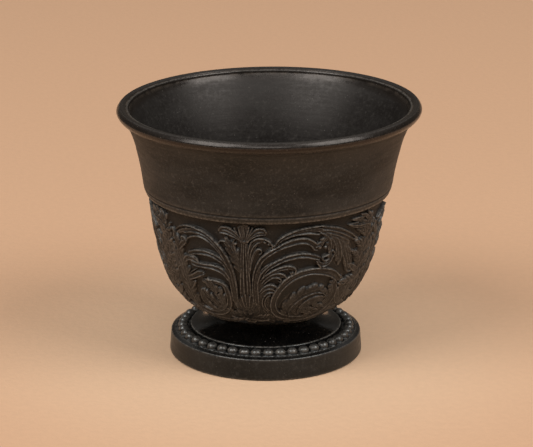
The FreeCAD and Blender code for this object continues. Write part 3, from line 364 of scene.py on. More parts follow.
SCROLL_LEFT = (
    leaf(0.75, (-5, 12, 0.9), (-12, 10, 2), (-20, 9.5, 2.6), (-30, 11.5, 2.4), (-40, 18, 1.2)),
    # ring
    leaf(0.55, (-24, 49.6, 1), (-18, 49.6, 1.8), (-13.4, 48.2, 2), (-10.9, 44, 1.8), (-10.1, 37, 1.9),
        (-10.9, 30, 2.2), (-13.8, 23, 2.6), (-19, 18.6, 2.6), (-26, 17.4, 2.4), (-33, 19.6, 2),
        (-38, 25.6, 1.6)),
    rod(1.05, (-23, 50.2, 0.5), (-17, 50.6, 0.7), (-12.4, 49, 0.75), (-9.7, 44, 0.75), (-9, 36, 0.75),
        (-10.2, 27.6, 0.75), (-14, 20.6, 0.8), (-20, 16.4, 0.8), (-27, 15.2, 0.75), (-34, 17.6, 0.65),
        (-39, 24, 0.45)),
    rod(0.96, (-12.4, 45.6, 0.45), (-11.2, 38, 0.6), (-12, 30.4, 0.7), (-15, 24.4, 0.75), (-20, 20.6, 0.75),
        (-26, 19.4, 0.7), (-32, 21.2, 0.6), (-37, 26.6, 0.4)),
    # leaf cluster inside it
    acanthus(0.9, (-16.2, 19, 3), (-14.6, 28.6, 3.8), (-15.4, 37, 4.4), (-18.6, 44, 4.4), (-24.6, 48.2, 1.8)),
    acanthus(0.86, (-18, 23, 2.6), (-19.8, 30.6, 3.4), (-23.2, 35.4, 3.2), (-25.4, 40.4, 1.2)),
    leaf(0.7, (-19.6, 18.6, 2.6), (-24.6, 24.6, 3), (-27.4, 31.6, 3), (-27.2, 39.4, 1.3)),
    leaf(0.8, (-17.4, 41, 1.4), (-19.6, 47.4, 1.8), (-21.6, 51, 0.9)),
    cut(0.5, (-15.8, 40.6, 0.6), (-16.8, 39.6, 0.5)),
    cut(0.5, (-21.4, 39.4, 0.6), (-23, 42, 0.8)),
    # strands under it
    leaf(0.5, (-10, 20, 1.4), (-14.4, 14.8, 2.2), (-21, 12.4, 2.6), (-28.6, 13, 3), (-35.6, 17.2, 3.4),
        (-40.8, 25.4, 3.2), (-43.4, 35, 2)),
    # foliage that climbs on its left
    acanthus(0.88, (-34.6, 17, 3), (-36.2, 30, 4.8), (-36.4, 43, 5.6), (-37.2, 56, 5.8), (-38, 67, 5),
        (-39.6, 76, 3.8), (-42.2, 85.6, 1.2)),
    leaf(0.6, (-40.4, 24, 2), (-41.2, 38, 2.8), (-41.8, 50, 2.8), (-42.6, 62, 2.4), (-43.6, 73, 1.2)),
    leaf(0.6, (-36.5, 38, 2), (-33, 42.4, 2), (-31.2, 45.6, 1)),
    rod(1, (-35.4, 38, 0.5), (-32.4, 41.6, 0.75), (-30.6, 45.4, 0.5)),
    leaf(0.64, (-37, 46, 2.2), (-31, 50.6, 2.6), (-26.6, 54.4, 2), (-24, 54.8, 1)),
    rod(1.1, (-34.6, 46.6, 0.5), (-29.6, 49.6, 0.75), (-25.8, 52.6, 0.8), (-23.4, 54.2, 0.5)),
    rod(0.98, (-34.4, 49.4, 0.45), (-30.4, 52.6, 0.7), (-27, 55.8, 0.75), (-24.6, 56.2, 0.5)),
    rod(0.9, (-33.6, 52, 0.4), (-30.4, 55.4, 0.6), (-28.2, 57.2, 0.45)),
    leaf(0.62, (-38, 58, 2), (-34.4, 64.4, 2.3), (-31, 65.8, 1.8), (-27.2, 65, 0.8)),
    rod(1.02, (-37.2, 60, 0.5), (-34, 66.2, 0.75), (-30.8, 67.4, 0.7), (-27.8, 66, 0.45)),
    rod(0.9, (-36.4, 58.6, 0.4), (-33.6, 63, 0.6), (-30.6, 64, 0.45)),
    leaf(0.62, (-39, 69, 2), (-36, 74.6, 2.1), (-33.4, 78.4, 1.9), (-34.8, 81.6, 1)),
    rod(1.05, (-38.2, 70, 0.5), (-34.8, 74.4, 0.75), (-32.4, 78, 0.75), (-33.2, 81.2, 0.7),
        (-35.4, 81.6, 0.55), (-35.6, 79.4, 0.45)),
    rod(0.9, (-38.4, 73, 0.4), (-36.2, 77, 0.6), (-35.6, 79.6, 0.5)),
    leaf(0.58, (-37.6, 55, 2.2), (-41, 53, 1.9), (-41.8, 47.4, 1)),
    rod(1, (-38.4, 57, 0.5), (-41.8, 54.4, 0.7), (-42.6, 47.8, 0.5)),
    cut(0.5, (-33, 60.4, 0.5), (-31.4, 59, 0.5)),
    cut(0.5, (-34, 71, 0.5), (-32.6, 69.8, 0.5)),
)

SPRIGS = {
    "palmette": PALMETTE, "spray_right": SPRAY_RIGHT, "scroll_right": SCROLL_RIGHT, "cascade": CASCADE,
    "plume": PLUME, "spray_left": SPRAY_LEFT, "scroll_left": SCROLL_LEFT,
}


# Shapes of the turned pieces

PROFILE_SPACING = 0.1
BOWL_SPACING = 0.05
WORN_SPACING = 0.03


def arc_points(start, end, rise, spacing=PROFILE_SPACING):
    """Points after start up to end, on an arc that bulges to the right of the way for a positive rise."""
    start, end = np.array(start[:2], float), np.array(end[:2], float)
    chord = np.linalg.norm(end - start)
    shares = np.linspace(0, 1, max(2, math.ceil(chord / spacing)) + 1)[1:, None]
    if not rise:
        return start + (end - start) * shares
    along = (end - start) / chord
    outward = np.array([along[1], -along[0]]) * math.copysign(1, rise)
    rise = abs(rise)
    radius = chord * chord / (8 * rise) + rise / 2
    half = math.asin(chord / 2 / radius)
    centre = (start + end) / 2 - outward * (radius - rise)
    angles = (2 * shares - 1) * half
    return centre + radius * (outward * np.cos(angles) + along * np.sin(angles))


def outline(profile):
    """A profile's corners and arcs as one dense run of points."""
    runs = [np.array([profile[0][:2]], float)]
    runs += [arc_points(before, corner, corner[2]) for before, corner in zip(profile, profile[1:])]
    return np.concatenate(runs)


def worn(points, wear):
    """The run with its corners worn round over about the distance wear, evenly spaced again."""
    ways = np.r_[0, np.cumsum(np.linalg.norm(np.diff(points, axis=0), axis=1))]
    even = np.arange(0, ways[-1], WORN_SPACING)
    run = np.stack([np.interp(even, ways, points[:, axis]) for axis in (0, 1)], 1)
    reach = math.ceil(3 * wear / WORN_SPACING)
    weights = np.exp(-0.5 * (np.arange(-reach, reach + 1) * WORN_SPACING / wear) ** 2)
    weights /= weights.sum()
    padded = np.concatenate([2 * run[:1] - run[reach:0:-1], run, 2 * run[-1:] - run[-2:-reach - 2:-1]])
    smooth = np.stack([np.convolve(padded[:, axis], weights, "valid") for axis in (0, 1)], 1)
    smooth[0], smooth[-1] = points[0], points[-1]
    return smooth


def thinned(points, finest=0.12, coarsest=1.0, turn=math.radians(5)):
    """Indices of the points that a run needs: close together in its bends, further apart along its flats."""
    steps = np.diff(points, axis=0)
    headings = np.unwrap(np.arctan2(steps[:, 1], steps[:, 0]))
    kept, way, swing = [0], 0.0, 0.0
    for index in range(1, len(points) - 1):
        way += float(np.linalg.norm(steps[index - 1]))
        swing += abs(headings[index] - headings[index - 1])
        if way > coarsest or (way > finest and swing > turn):
            kept.append(index)
            way, swing = 0.0, 0.0
    return kept + [len(points) - 1]


# The bowl under the relief

LOWER_ARC = np.concatenate([[BASE_EDGE[:2]], arc_points(BASE_EDGE, BELLY, BELLY[2], BOWL_SPACING)])
BOWL_RUN = np.concatenate([LOWER_ARC, arc_points(BELLY, NECK, NECK[2], BOWL_SPACING)])
BOWL_WAYS = np.r_[0, np.cumsum(np.linalg.norm(np.diff(BOWL_RUN, axis=0), axis=1))]
BOWL_LENGTH = BOWL_WAYS[-1]
BOWL_SLOPES = np.gradient(BOWL_RUN, BOWL_WAYS, axis=0)


def bowl_at(ways):
    """Radius, height, and the outward direction's two parts, at ways up the bowl from its base edge."""
    radius, height, outward, downward = [
        np.interp(ways, BOWL_WAYS, column)
        for column in (BOWL_RUN[:, 0], BOWL_RUN[:, 1], BOWL_SLOPES[:, 1], BOWL_SLOPES[:, 0])
    ]
    size = np.hypot(outward, downward)
    return radius, height, outward / size, -downward / size


# Relief as a height over the bowl, stroke by stroke. Beyond a stroke's edge it slopes down to OUTSIDE.

OUTSIDE = -1.0
EDGE_SLOPE = 1.6
LINE_SPACING = 0.35
LEAST_HALF_WIDTH = 0.12
STROKE_MARGIN = 0.5
TURN_SLACK = 1.1
# Distance, half width, side and way along where no stroke is near
FAR_FIELD = (9.0, 0.5, 1.0, 0.0)


def smooth_line(points):
    """A Catmull-Rom line through a stroke's points, as (column, way, half width) rows."""
    knots = np.array(points, float) * (1, BOWL_LENGTH / 100, 0.5)
    if len(knots) == 1:
        return knots
    ends = np.concatenate([2 * knots[:1] - knots[1:2], knots, 2 * knots[-1:] - knots[-2:-1]])
    line = [knots[:1]]
    for before, start, end, after in zip(ends, ends[1:], ends[2:], ends[3:]):
        radius = float(bowl_at((start[1] + end[1]) / 2)[0])
        length = math.hypot(math.radians(end[0] - start[0]) * radius, end[1] - start[1])
        share = np.linspace(0, 1, max(2, math.ceil(length / LINE_SPACING)) + 1)[1:, None]
        line.append(0.5 * (
            2 * start + (end - before) * share + (2 * before - 5 * start + 4 * end - after) * share**2
            + (3 * start - before - 3 * end + after) * share**3
        ))
    line = np.concatenate(line)
    line[:, 2] = np.maximum(line[:, 2], LEAST_HALF_WIDTH)
    return line


def stroke_field(line, columns, ways, radii):
    """Distance from a line's middle, half width there, side of it and way along it, on a grid."""
    shape = (len(ways), len(columns))
    best = np.full(shape, np.inf)
    distance, half, side, along = (np.full(shape, fill) for fill in FAR_FIELD)
    gone = 0.0
    starts, ends = (line[:-1], line[1:]) if len(line) > 1 else (line, line)
    for start, end in zip(starts, ends):
        reach = max(start[2], end[2]) + STROKE_MARGIN
        turn = math.degrees(reach / radii[min(np.searchsorted(ways, start[1]), len(ways) - 1)]) * TURN_SLACK
        rows = slice(*np.searchsorted(ways, (min(start[1], end[1]) - reach, max(start[1], end[1]) + reach)))
        spans = slice(*np.searchsorted(columns, (min(start[0], end[0]) - turn, max(start[0], end[0]) + turn)))
        metre = np.radians(radii[rows, None])
        across = (columns[None, spans] - start[0]) * metre
        upward = (ways[rows, None] - start[1]) + 0 * across
        run = (end[0] - start[0]) * metre
        climb = end[1] - start[1]
        share = np.clip((across * run + upward * climb) / np.maximum(run**2 + climb**2, 1e-9), 0, 1)
        off_across, off_upward = across - share * run, upward - share * climb
        away = np.hypot(off_across, off_upward)
        width = start[2] + (end[2] - start[2]) * share
        nearer = away - width < best[rows, spans]
        best[rows, spans] = np.where(nearer, away - width, best[rows, spans])
        hand = np.sign(run * off_upward - climb * off_across)
        middle = float(bowl_at((start[1] + end[1]) / 2)[0])
        length = math.hypot(math.radians(end[0] - start[0]) * middle, climb)
        for field, value in ((distance, away), (half, width), (side, hand), (along, gone + share * length)):
            field[rows, spans] = np.where(nearer, value, field[rows, spans])
        gone += length
    return distance, half, side, along


def dome(q):
    """A round section, from 1 in its middle to 0 on its edges."""
    return np.sqrt(np.clip(1 - q**2, 0, 1))


def shoulder(q):
    """A flat section with round edges."""
    return np.sqrt(np.clip(1 - np.abs(q) ** 5, 0, 1))


# Height of a stroke's section, as a share, at q from -1 on its right edge over 0 to 1 on its left edge
FORMS = {
    "leaf": lambda q: shoulder(q) * (0.82 + 0.18 * q**2),
    "crest": lambda q: shoulder(q) * (0.66 + 0.34 * (0.5 + 0.5 * q) ** 1.5),
    "twin": lambda q: shoulder(q) * (0.7 + 0.3 * np.sin(np.pi * q) ** 2),
    "mound": lambda q: dome(q) ** 0.9,
    "rod": dome,
    "bead": dome,
}


# Long leaves stand a little higher than their strokes say and carry fine ribs along them
LEAF_LIFT = 1.5
RIB_PITCH = 0.62
RIB_DEPTH = 0.18
RIB_UNEVENNESS = 0.16
RIB_FADE = 0.35
RIBBED = ("leaf", "crest")


def ribs(q, width):
    """Depth in millimetres under a leaf's crest lines, for ribs that run along a leaf of that full width."""
    count = max(1, round(width / RIB_PITCH))
    bent = q + RIB_UNEVENNESS * np.sin(np.pi * q) * np.cos(2.3 * width)
    return RIB_DEPTH * (0.5 + 0.5 * (-1) ** count * np.cos(np.pi * count * bent))


# An acanthus leaf has lobes along its edges, and grooves that run between them to its midrib
LOBE_SHARE = 0.62
LOBE_LEAN = 0.8
LOBE_BITE = 0.34
GROOVE_DEPTH = 0.24
VEIN_DEPTH = 0.07
MIDRIB = 0.14
MIDRIB_WIDTH = 0.26
LOBE_STAGGER = 1.6
LOBE_DRIFT = 0.8


def lobed_height(distance, half, side, along, peak, fullest):
    """Height of a lobed leaf in millimetres, with lobes in step with its full half width."""
    pitch = 2 * fullest * LOBE_SHARE
    drift = LOBE_STAGGER * side + LOBE_DRIFT * np.sin(0.9 * along + 2 * side)
    phase = 2 * np.pi * (along - LOBE_LEAN * distance) / pitch + drift
    lobe = 0.5 + 0.5 * np.cos(phase)
    share = np.clip(distance / half, 0, 1)
    edge = np.clip(distance / (half * (1 - LOBE_BITE + LOBE_BITE * lobe**0.4)), 0, 1)
    veins = VEIN_DEPTH * (0.5 - 0.5 * np.cos(4 * phase)) * share
    crown = peak * (0.86 + 0.14 * np.sin(np.pi * share)) * shoulder(edge)
    grooves = GROOVE_DEPTH * (1 - lobe) ** 1.5 * np.sqrt(share)
    return crown - (grooves + veins) * (edge < 1) + MIDRIB * np.exp(-((distance / MIDRIB_WIDTH) ** 2))


# Height of a stroke where its width falls to nothing, as a share of its full height
TIP_SHARE = 0.62


def relief_heights(strokes, columns, ways):
    """Height in millimetres over the bowl on a grid. It falls below zero outside the strokes."""
    radii = bowl_at(ways)[0]
    heights = np.full((len(ways), len(columns)), OUTSIDE)
    for form, height, points in strokes:
        distance, half, side, along = stroke_field(smooth_line(points), columns, ways, radii)
        q = distance / half
        if form == "cut":
            heights -= np.where(heights > OUTSIDE, height * dome(q), 0)
            continue
        fullest = max(point[2] for point in points) / 2
        peak = height * (TIP_SHARE + (1 - TIP_SHARE) * np.sqrt(np.clip(half / fullest, 0, 1)))
        section = side * np.clip(q, 0, 1)
        if form == "acanthus":
            inside = lobed_height(distance, half, side, along, peak, fullest)
        else:
            inside = peak * FORMS[form](section)
        if form in RIBBED:
            inside = inside * LEAF_LIFT - ribs(section, 2 * fullest) * np.clip(half / RIB_FADE, 0, 1)
        outside = np.maximum(-EDGE_SLOPE * (distance - half), OUTSIDE)
        heights = np.maximum(heights, np.where(q <= 1, inside, outside))
    return heights


def softened(values, passes=1):
    """The grid with each value eased a little towards its neighbours."""
    for _ in range(passes):
        for axis in (0, 1):
            ahead, behind = np.roll(values, 1, axis), np.roll(values, -1, axis)
            values = 0.5 * values + 0.25 * (ahead + behind)
    return values


def uneven(shape, cell, seed):
    """Smooth random values from -1 to 1 on a grid, with swells about cell steps wide."""
    coarse = np.random.default_rng(seed).uniform(-1, 1, [size // cell + 3 for size in shape])
    for axis, size in enumerate(shape):
        place = np.arange(size) / cell
        low = place.astype(int)
        share = place - low
        share = share * share * (3 - 2 * share)
        share = share.reshape([-1 if other == axis else 1 for other in range(2)])
        coarse = np.take(coarse, low, axis) * (1 - share) + np.take(coarse, low + 1, axis) * share
    return coarse


# Meshes

# Points round a turned piece, and how far the cup leans to the right and rises there
TURNS = 384
LEAN = 0.0135
TILT = 0.00015


def leaning(points):
    """Points of the hand-luted cup, which leans on its foot a little and has its rim out of level."""
    across, rise = points[:, 0], points[:, 2] - SEAT_HEIGHT
    return points + np.stack([LEAN * rise, 0 * rise, TILT * across * rise], -1)


def new_piece(name, points, faces, marks, stands_for):
    """A smooth-shaded mesh from points in millimetres, with a value per point for each named mark."""
    mesh = bpy.data.meshes.new(name)
    mesh.vertices.add(len(points))
    mesh.vertices.foreach_set("co", np.asarray(points, np.float32).ravel() * MM)
    corners = np.concatenate([np.asarray(face, np.int32).ravel() for face in faces])
    sizes = np.concatenate([np.full(len(face), face.shape[1]) for face in faces])
    mesh.loops.add(len(corners))
    mesh.loops.foreach_set("vertex_index", corners)
    mesh.polygons.add(len(sizes))
    mesh.polygons.foreach_set("loop_start", np.r_[0, np.cumsum(sizes)[:-1]])
    mesh.polygons.foreach_set("use_smooth", np.ones(len(sizes), bool))
    mesh.update(calc_edges=True)
    for mark, values in marks.items():
        layer = mesh.attributes.new(mark, "FLOAT", "POINT")
        layer.data.foreach_set("value", np.asarray(values, np.float32).ravel())
    piece = bpy.data.objects.new(name, mesh)
    bpy.context.scene.collection.objects.link(piece)
    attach(piece, BODY)
    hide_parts(*stands_for)
    return piece


def grid_faces(rows, columns, closed):
    """Quads of a grid of points, row by row, anticlockwise. A closed grid's last column meets its first."""
    spans = columns if closed else columns - 1
    row, column = np.meshgrid(np.arange(rows - 1), np.arange(spans), indexing="ij")
    after = (column + 1) % columns
    starts = np.stack([row, row, row + 1, row + 1], -1) * columns
    return (starts + np.stack([column, after, after, column], -1)).reshape(-1, 4)


MARK_REACH = 12
SOFT_TURN = 0.22
EDGE_GAIN = 2.2
CREASE_GAIN = 2.0


def edge_marks(run, kept):
    """How far each kept point of a worn run stands out as an edge, and how far it lies in a crease."""
    ahead, behind = np.roll(run, -MARK_REACH, 0), np.roll(run, MARK_REACH, 0)
    first, second = run - behind, ahead - run
    turn = first[:, 0] * second[:, 1] - first[:, 1] * second[:, 0]
    turn /= np.maximum(np.linalg.norm(first, axis=1) * np.linalg.norm(second, axis=1), 1e-6)
    turn[:MARK_REACH] = turn[-MARK_REACH:] = 0
    return np.clip((turn[kept] - SOFT_TURN) * EDGE_GAIN, 0, 1), np.clip(-turn[kept] * CREASE_GAIN, 0, 1)


EDGE_LEAST = 0.02
FULL_MARK = 0.15


def relief_marks(heights, passes):
    """Marks for a grid of heights: how far each point stands over its surroundings, or lies under them."""
    relative = heights - softened(heights, passes)
    return {
        "edge": np.clip((relative - EDGE_LEAST) / FULL_MARK, 0, 1),
        "crease": np.clip(-relative / FULL_MARK, 0, 1),
    }


def turned_piece(name, node, profile, wear, polish, shade=None, bend=None):
    """A lathe-turned piece whose profile runs anticlockwise, from the axis out and back to the axis.

    Polish and shade give a mark per profile point, and bend moves the finished points.
    """
    run = worn(outline(profile), wear)
    kept = thinned(run)
    edge, crease = edge_marks(run, kept)
    points = run[kept]
    angles = np.linspace(0, 2 * np.pi, TURNS, endpoint=False)
    if shade:
        crease = np.maximum(crease, shade(points))
    ring = points[1:-1]
    body = np.stack([
        ring[:, :1] * np.cos(angles), ring[:, :1] * np.sin(angles), ring[:, 1:] + 0 * angles
    ], -1).reshape(-1, 3)
    ends = np.array([[0, 0, points[0, 1]], [0, 0, points[-1, 1]]])
    count = len(body)
    around = np.arange(TURNS)
    after = (around + 1) % TURNS
    last = (len(ring) - 1) * TURNS
    bottom = np.stack([np.full(TURNS, count), after, around], -1)
    top = np.stack([np.full(TURNS, count + 1), last + around, last + after], -1)
    marks = {
        mark: np.concatenate([np.repeat(values[1:-1], TURNS), [0, 0]])
        for mark, values in (("edge", edge), ("crease", crease), ("polish", polish(points)))
    }
    faces = [grid_faces(len(ring), TURNS, True), bottom, top]
    points = np.concatenate([body, ends])
    return new_piece(name, bend(points) if bend else points, faces, marks, [node])


# Cup and foot

TURNING_WEAR = 0.11
FOOT_WEAR = 0.24
# The polish reaches down under the lip's roll; there its black clay partly paints the shade under the roll
LIP_HEIGHT = 81.7
LIP_FADE = 0.8
LIP_POLISH = 0.85
INSIDE_POLISH = 0.33
GROUND_SHADE = 0.75
CAVETTO_RADIUS = 25.0
CAVETTO_POLISH_AND_SHADE = 0.8
RING_POLISH = 0.6
SIDE_RADIUS = 31.4
SIDE_POLISH = 0.3
POLISH_STEP = 0.2


def cup_polish(points):
    """The lip is glossiest, then the inside, and the collar and bowl are dry."""
    inside = np.arange(len(points)) > points[:, 1].argmax()
    lip = np.clip((points[:, 1] - LIP_HEIGHT) / LIP_FADE + 0.5, 0, 1)
    return np.maximum(LIP_POLISH * lip, INSIDE_POLISH * inside)


def bowl_shade(points):
    """The ground round the sprigs is darker than the collar: painted shade."""
    outside = np.arange(len(points)) < points[:, 1].argmax()
    return GROUND_SHADE * (outside & (points[:, 1] < NECK[1]))


def foot_polish(points):
    """The top of the foot is glossier than its side, and the cavetto is glossiest. Polish also blends in
    black clay, which in the cavetto is painted shade under the bowl.
    """
    radii = (CAVETTO_RADIUS, CAVETTO_RADIUS + POLISH_STEP, SIDE_RADIUS, SIDE_RADIUS + POLISH_STEP)
    return np.interp(points[:, 0], radii, (CAVETTO_POLISH_AND_SHADE, RING_POLISH, RING_POLISH, SIDE_POLISH))


cup = turned_piece(
    "turned_cup", "cup_body", CUP_PROFILE, TURNING_WEAR, cup_polish, bowl_shade, leaning
)
foot = turned_piece("turned_foot", "foot", FOOT_PROFILE, FOOT_WEAR, foot_polish)

# Bead border

BEAD_COUNT = 44
BEAD_TURN = 1.8
BEAD_RING = 27.8
BEAD_RADIUS = 1.78
BEAD_RISE = 2.1
BEAD_SINK = 0.1
BEAD_FULLNESS = 0.78
# How much the beads differ: along the ring, across it, in size and in height
BEAD_SLIP, BEAD_SHIFT, BEAD_SIZING, BEAD_LIFT = 0.07, 0.06, 0.03, 0.04
# Rise, gap from the bead and width of the ridge and the groove round each bead
BEAD_RIDGE, BEAD_GROOVE = (0.2, 0.42, 0.17), (-0.12, 0.08, 0.12)
BORDER_INNER, BORDER_OUTER = 25.6, 30.0
BORDER_FLOOR = 7.62
BORDER_WEAR = 0.03
BORDER_BEVEL, BORDER_BEVEL_WIDTH = 0.45, 0.3
BORDER_GRID = 0.1
BORDER_PASSES = 16
BORDER_SWELL = 9
BEAD_SEED, BORDER_SEED = 7, 3


def bead_border():
    """The strip in the foot's channel, with a row of beads that differ a little."""
    radii = np.arange(BORDER_INNER, BORDER_OUTER + BORDER_GRID / 2, BORDER_GRID)
    turns = round(2 * np.pi * BEAD_RING / BORDER_GRID)
    angles = np.linspace(0, 2 * np.pi, turns, endpoint=False)
    pitch = 2 * np.pi / BEAD_COUNT
    turned = angles - math.radians(FRONT + BEAD_TURN)
    nearest = np.round(turned / pitch)
    number = nearest.astype(int) % BEAD_COUNT
    chance = np.random.default_rng(BEAD_SEED).uniform(-1, 1, (4, BEAD_COUNT))
    slips, shifts, sizes, lifts = [values[number] for values in chance]
    across = (turned - nearest * pitch) * BEAD_RING + BEAD_SLIP * slips
    outward = radii[:, None] - BEAD_RING + BEAD_SHIFT * shifts
    away = np.hypot(across, outward)
    reach = BEAD_RADIUS * (1 + BEAD_SIZING * sizes)
    heights = BORDER_FLOOR + BORDER_WEAR * uneven(away.shape, BORDER_SWELL, BORDER_SEED)
    for rise, gap, width in (BEAD_RIDGE, BEAD_GROOVE):
        heights += rise * np.exp(-(((away - reach - gap) / width) ** 2))
    domes = (BEAD_RISE + BEAD_LIFT * lifts) * dome(away / reach) ** BEAD_FULLNESS
    heights = np.maximum(heights, BORDER_FLOOR - BEAD_SINK + domes)
    margin = np.minimum(radii - BORDER_INNER, BORDER_OUTER - radii)[:, None]
    heights = heights - BORDER_BEVEL * np.clip(1 - margin / BORDER_BEVEL_WIDTH, 0, 1) ** 2
    heights = softened(heights)
    points = np.stack([radii[:, None] * np.cos(angles), radii[:, None] * np.sin(angles), heights], -1)
    points = points.reshape(-1, 3)
    faces = [grid_faces(len(radii), turns, True)[:, ::-1]]
    marks = relief_marks(heights, BORDER_PASSES)
    return new_piece("bead_band", points, faces, marks, ["bead_border"])


band = bead_border()

# Sprigs

RELIEF_GRID = 0.125
GRID_TURN = math.degrees(RELIEF_GRID / NECK[0])
HAND_WEAR = 0.045
RELIEF_LIFT = 1.27
# A sprig is sunk a little into the bowl and has a thin line of slip round it
RELIEF_SINK = 0.22
SLIP_EDGE = (-0.95, -0.7)
SLIP_HEIGHT = 0.02
HAND_SWELLS = (5, 14)
SWELL_FADE = 0.5
COLUMN_MARGIN, WAY_MARGIN = 4, 2
SPRIG_PASSES = 11
SEED_STEP = 20


def sprig_mesh(strokes, seed):
    """Points, faces and marks of a sprig on the bowl, for the first repeat."""
    places = np.array([point for _, _, points in strokes for point in points], float)
    low, high = places.min(0), places.max(0)
    columns = np.arange(low[0] - COLUMN_MARGIN, high[0] + COLUMN_MARGIN, GRID_TURN)
    lowest, highest = low[1] * BOWL_LENGTH / 100, high[1] * BOWL_LENGTH / 100
    ways = np.arange(lowest - WAY_MARGIN, highest + WAY_MARGIN, RELIEF_GRID)
    heights = softened(relief_heights(strokes, columns, ways))
    swell = HAND_WEAR * sum(uneven(heights.shape, cell, seed + step) for step, cell in enumerate(HAND_SWELLS))
    heights = heights + swell * np.clip(heights / SWELL_FADE, 0, 1)
    heights = heights + (RELIEF_LIFT - 1) * np.maximum(heights, 0)
    marks = relief_marks(np.maximum(heights, 0), SPRIG_PASSES)
    slip = np.interp(heights, SLIP_EDGE, (-RELIEF_SINK, SLIP_HEIGHT))
    heights = np.maximum(heights, slip)
    radius, height, outward, upward = (values[:, None] for values in bowl_at(ways))
    angles = np.radians(columns + PALMETTE_AXIS + FRONT)
    reach = radius + outward * heights
    points = np.stack([reach * np.cos(angles), reach * np.sin(angles), height + upward * heights], -1)
    faces = grid_faces(len(ways), len(columns), False)
    faces = faces[heights.ravel()[faces].max(1) > -RELIEF_SINK]
    used, faces = np.unique(faces, return_inverse=True)
    marks = {mark: values.ravel()[used] for mark, values in marks.items()}
    return points.reshape(-1, 3)[used], faces.reshape(-1, 4), marks


sprigs = []
for order, (name, strokes) in enumerate(SPRIGS.items()):
    points, faces, marks = sprig_mesh(strokes, SEED_STEP * order)
    for repeat in range(REPEATS):
        turn = math.radians(repeat * REPEAT_ANGLE)
        turned = points @ np.array([
            [math.cos(turn), math.sin(turn), 0], [-math.sin(turn), math.cos(turn), 0], [0, 0, 1]
        ])
        node = f"{name}_{repeat + 1}"
        sprig = new_piece(f"{node}_relief", leaning(turned), [faces], marks, [node])
        sprigs.append(sprig)


# Materials

NOISE_ROUGHNESS = 0.55


class Shader:
    """A material's nodes, added one by one."""

    def __init__(self, name):
        self.material = bpy.data.materials.new(name)
        self.material.use_nodes = True
        self.tree = self.material.node_tree
        self.surface = self.tree.nodes["Principled BSDF"]
        self.place = self.add("ShaderNodeTexCoord").outputs["Object"]

    def feed(self, socket, value):
        """Links a node's output to a socket, or sets the socket to a value."""
        if isinstance(value, bpy.types.NodeSocket):
            self.tree.links.new(value, socket)
        else:
            socket.default_value = value

    def add(self, kind, inputs=(), **settings):
        node = self.tree.nodes.new(kind)
        for setting, value in settings.items():
            setattr(node, setting, value)
        for socket, value in dict(inputs).items():
            self.feed(node.inputs[socket], value)
        return node

    def set(self, socket, value):
        self.feed(self.surface.inputs[socket], value)

    def noise(self, size, detail, place=None):
        """Noise from 0 to 1 whose swells are about size millimetres wide."""
        return self.add("ShaderNodeTexNoise", {
            "Vector": place or self.place,
            "Scale": 1 / (size * MM),
            "Detail": detail,
            "Roughness": NOISE_ROUGHNESS,
        }).outputs["Fac"]

    def stretched(self, across):
        """The place, with a share across below 1, so that a pattern runs round a turned piece."""
        inputs = {0: self.place, 1: (across, across, 1)}
        return self.add("ShaderNodeVectorMath", inputs, operation="MULTIPLY").outputs[0]

    def mark(self, name):
        return self.add("ShaderNodeAttribute", attribute_name=name).outputs["Fac"]

    def ramp(self, value, low, high, bottom=0.0, top=1.0):
        return self.add("ShaderNodeMapRange", {
            "Value": value, "From Min": low, "From Max": high, "To Min": bottom, "To Max": top,
        }, interpolation_type="SMOOTHSTEP").outputs["Result"]

    def product(self, first, second):
        return self.add("ShaderNodeMath", {0: first, 1: second}, operation="MULTIPLY").outputs[0]

    def total(self, first, second):
        return self.add("ShaderNodeMath", {0: first, 1: second}, operation="ADD").outputs[0]

    def blend(self, share, first, second):
        """One colour mixed into another by a share from 0 to 1."""
        colours = [(*value, 1) if isinstance(value, tuple) else value for value in (first, second)]
        node = self.add("ShaderNodeMix", data_type="RGBA")
        for index, value in zip((0, 6, 7), (share, *colours)):
            self.feed(node.inputs[index], value)
        return node.outputs[2]


DARK_CLAY = (0.0015, 0.0019, 0.0023)
WARM_CLAY = (0.0190, 0.0190, 0.0185)
INNER_CLAY = (0.0090, 0.0067, 0.0053)
# Black clay where the polish mark is high; in the cavetto and under the lip's roll it also paints shade
BLACK_CLAY = (0.0015, 0.0015, 0.0015)
# Pale clay for random mottle and grit, and for edges, where it is partly wear and partly a painted highlight
PALE_CLAY = (0.134, 0.124, 0.111)
DUST = (0.075, 0.058, 0.044)
SPECK = (0.24, 0.22, 0.20)
# Near black for creases and the ground between the sprigs: painted shade
SHADE_BLACK = (0.0010, 0.0010, 0.0010)
OUTER_TINT = (0.90, 0.97, 1.0)
RELIEF_TINT = (0.96, 0.965, 0.95)
INNER_TINT = (1.0, 0.92, 0.87)

# Widths in millimetres of the clay's patterns, and how far those on turned pieces run round them
CLOUD, PATCH, MOTTLE, CHIP, GRIT, GRAIN = 11, 3.5, 1.3, 0.8, 0.6, 0.3
SCUFF, RING = 0.8, 0.45
CLOUD_STRETCH, SCUFF_STRETCH, RING_STRETCH = 0.4, 0.12, 0.02
# Width in millimetres and strength of each size of speck
SPECKS = ((1.3, 0.55), (0.7, 0.5), (0.42, 0.4))
# What polish, dust and wear add to the roughness, and how far it wavers
POLISH_ROUGHNESS, DUST_ROUGHNESS, WEAR_ROUGHNESS = -0.43, 0.1, -0.16
MOTTLE_ROUGHNESS, SCUFF_ROUGHNESS = 0.06, 0.04
BUMP_DEPTH = 0.4
DRY_BUMP, POLISHED_BUMP = 0.8, 0.3


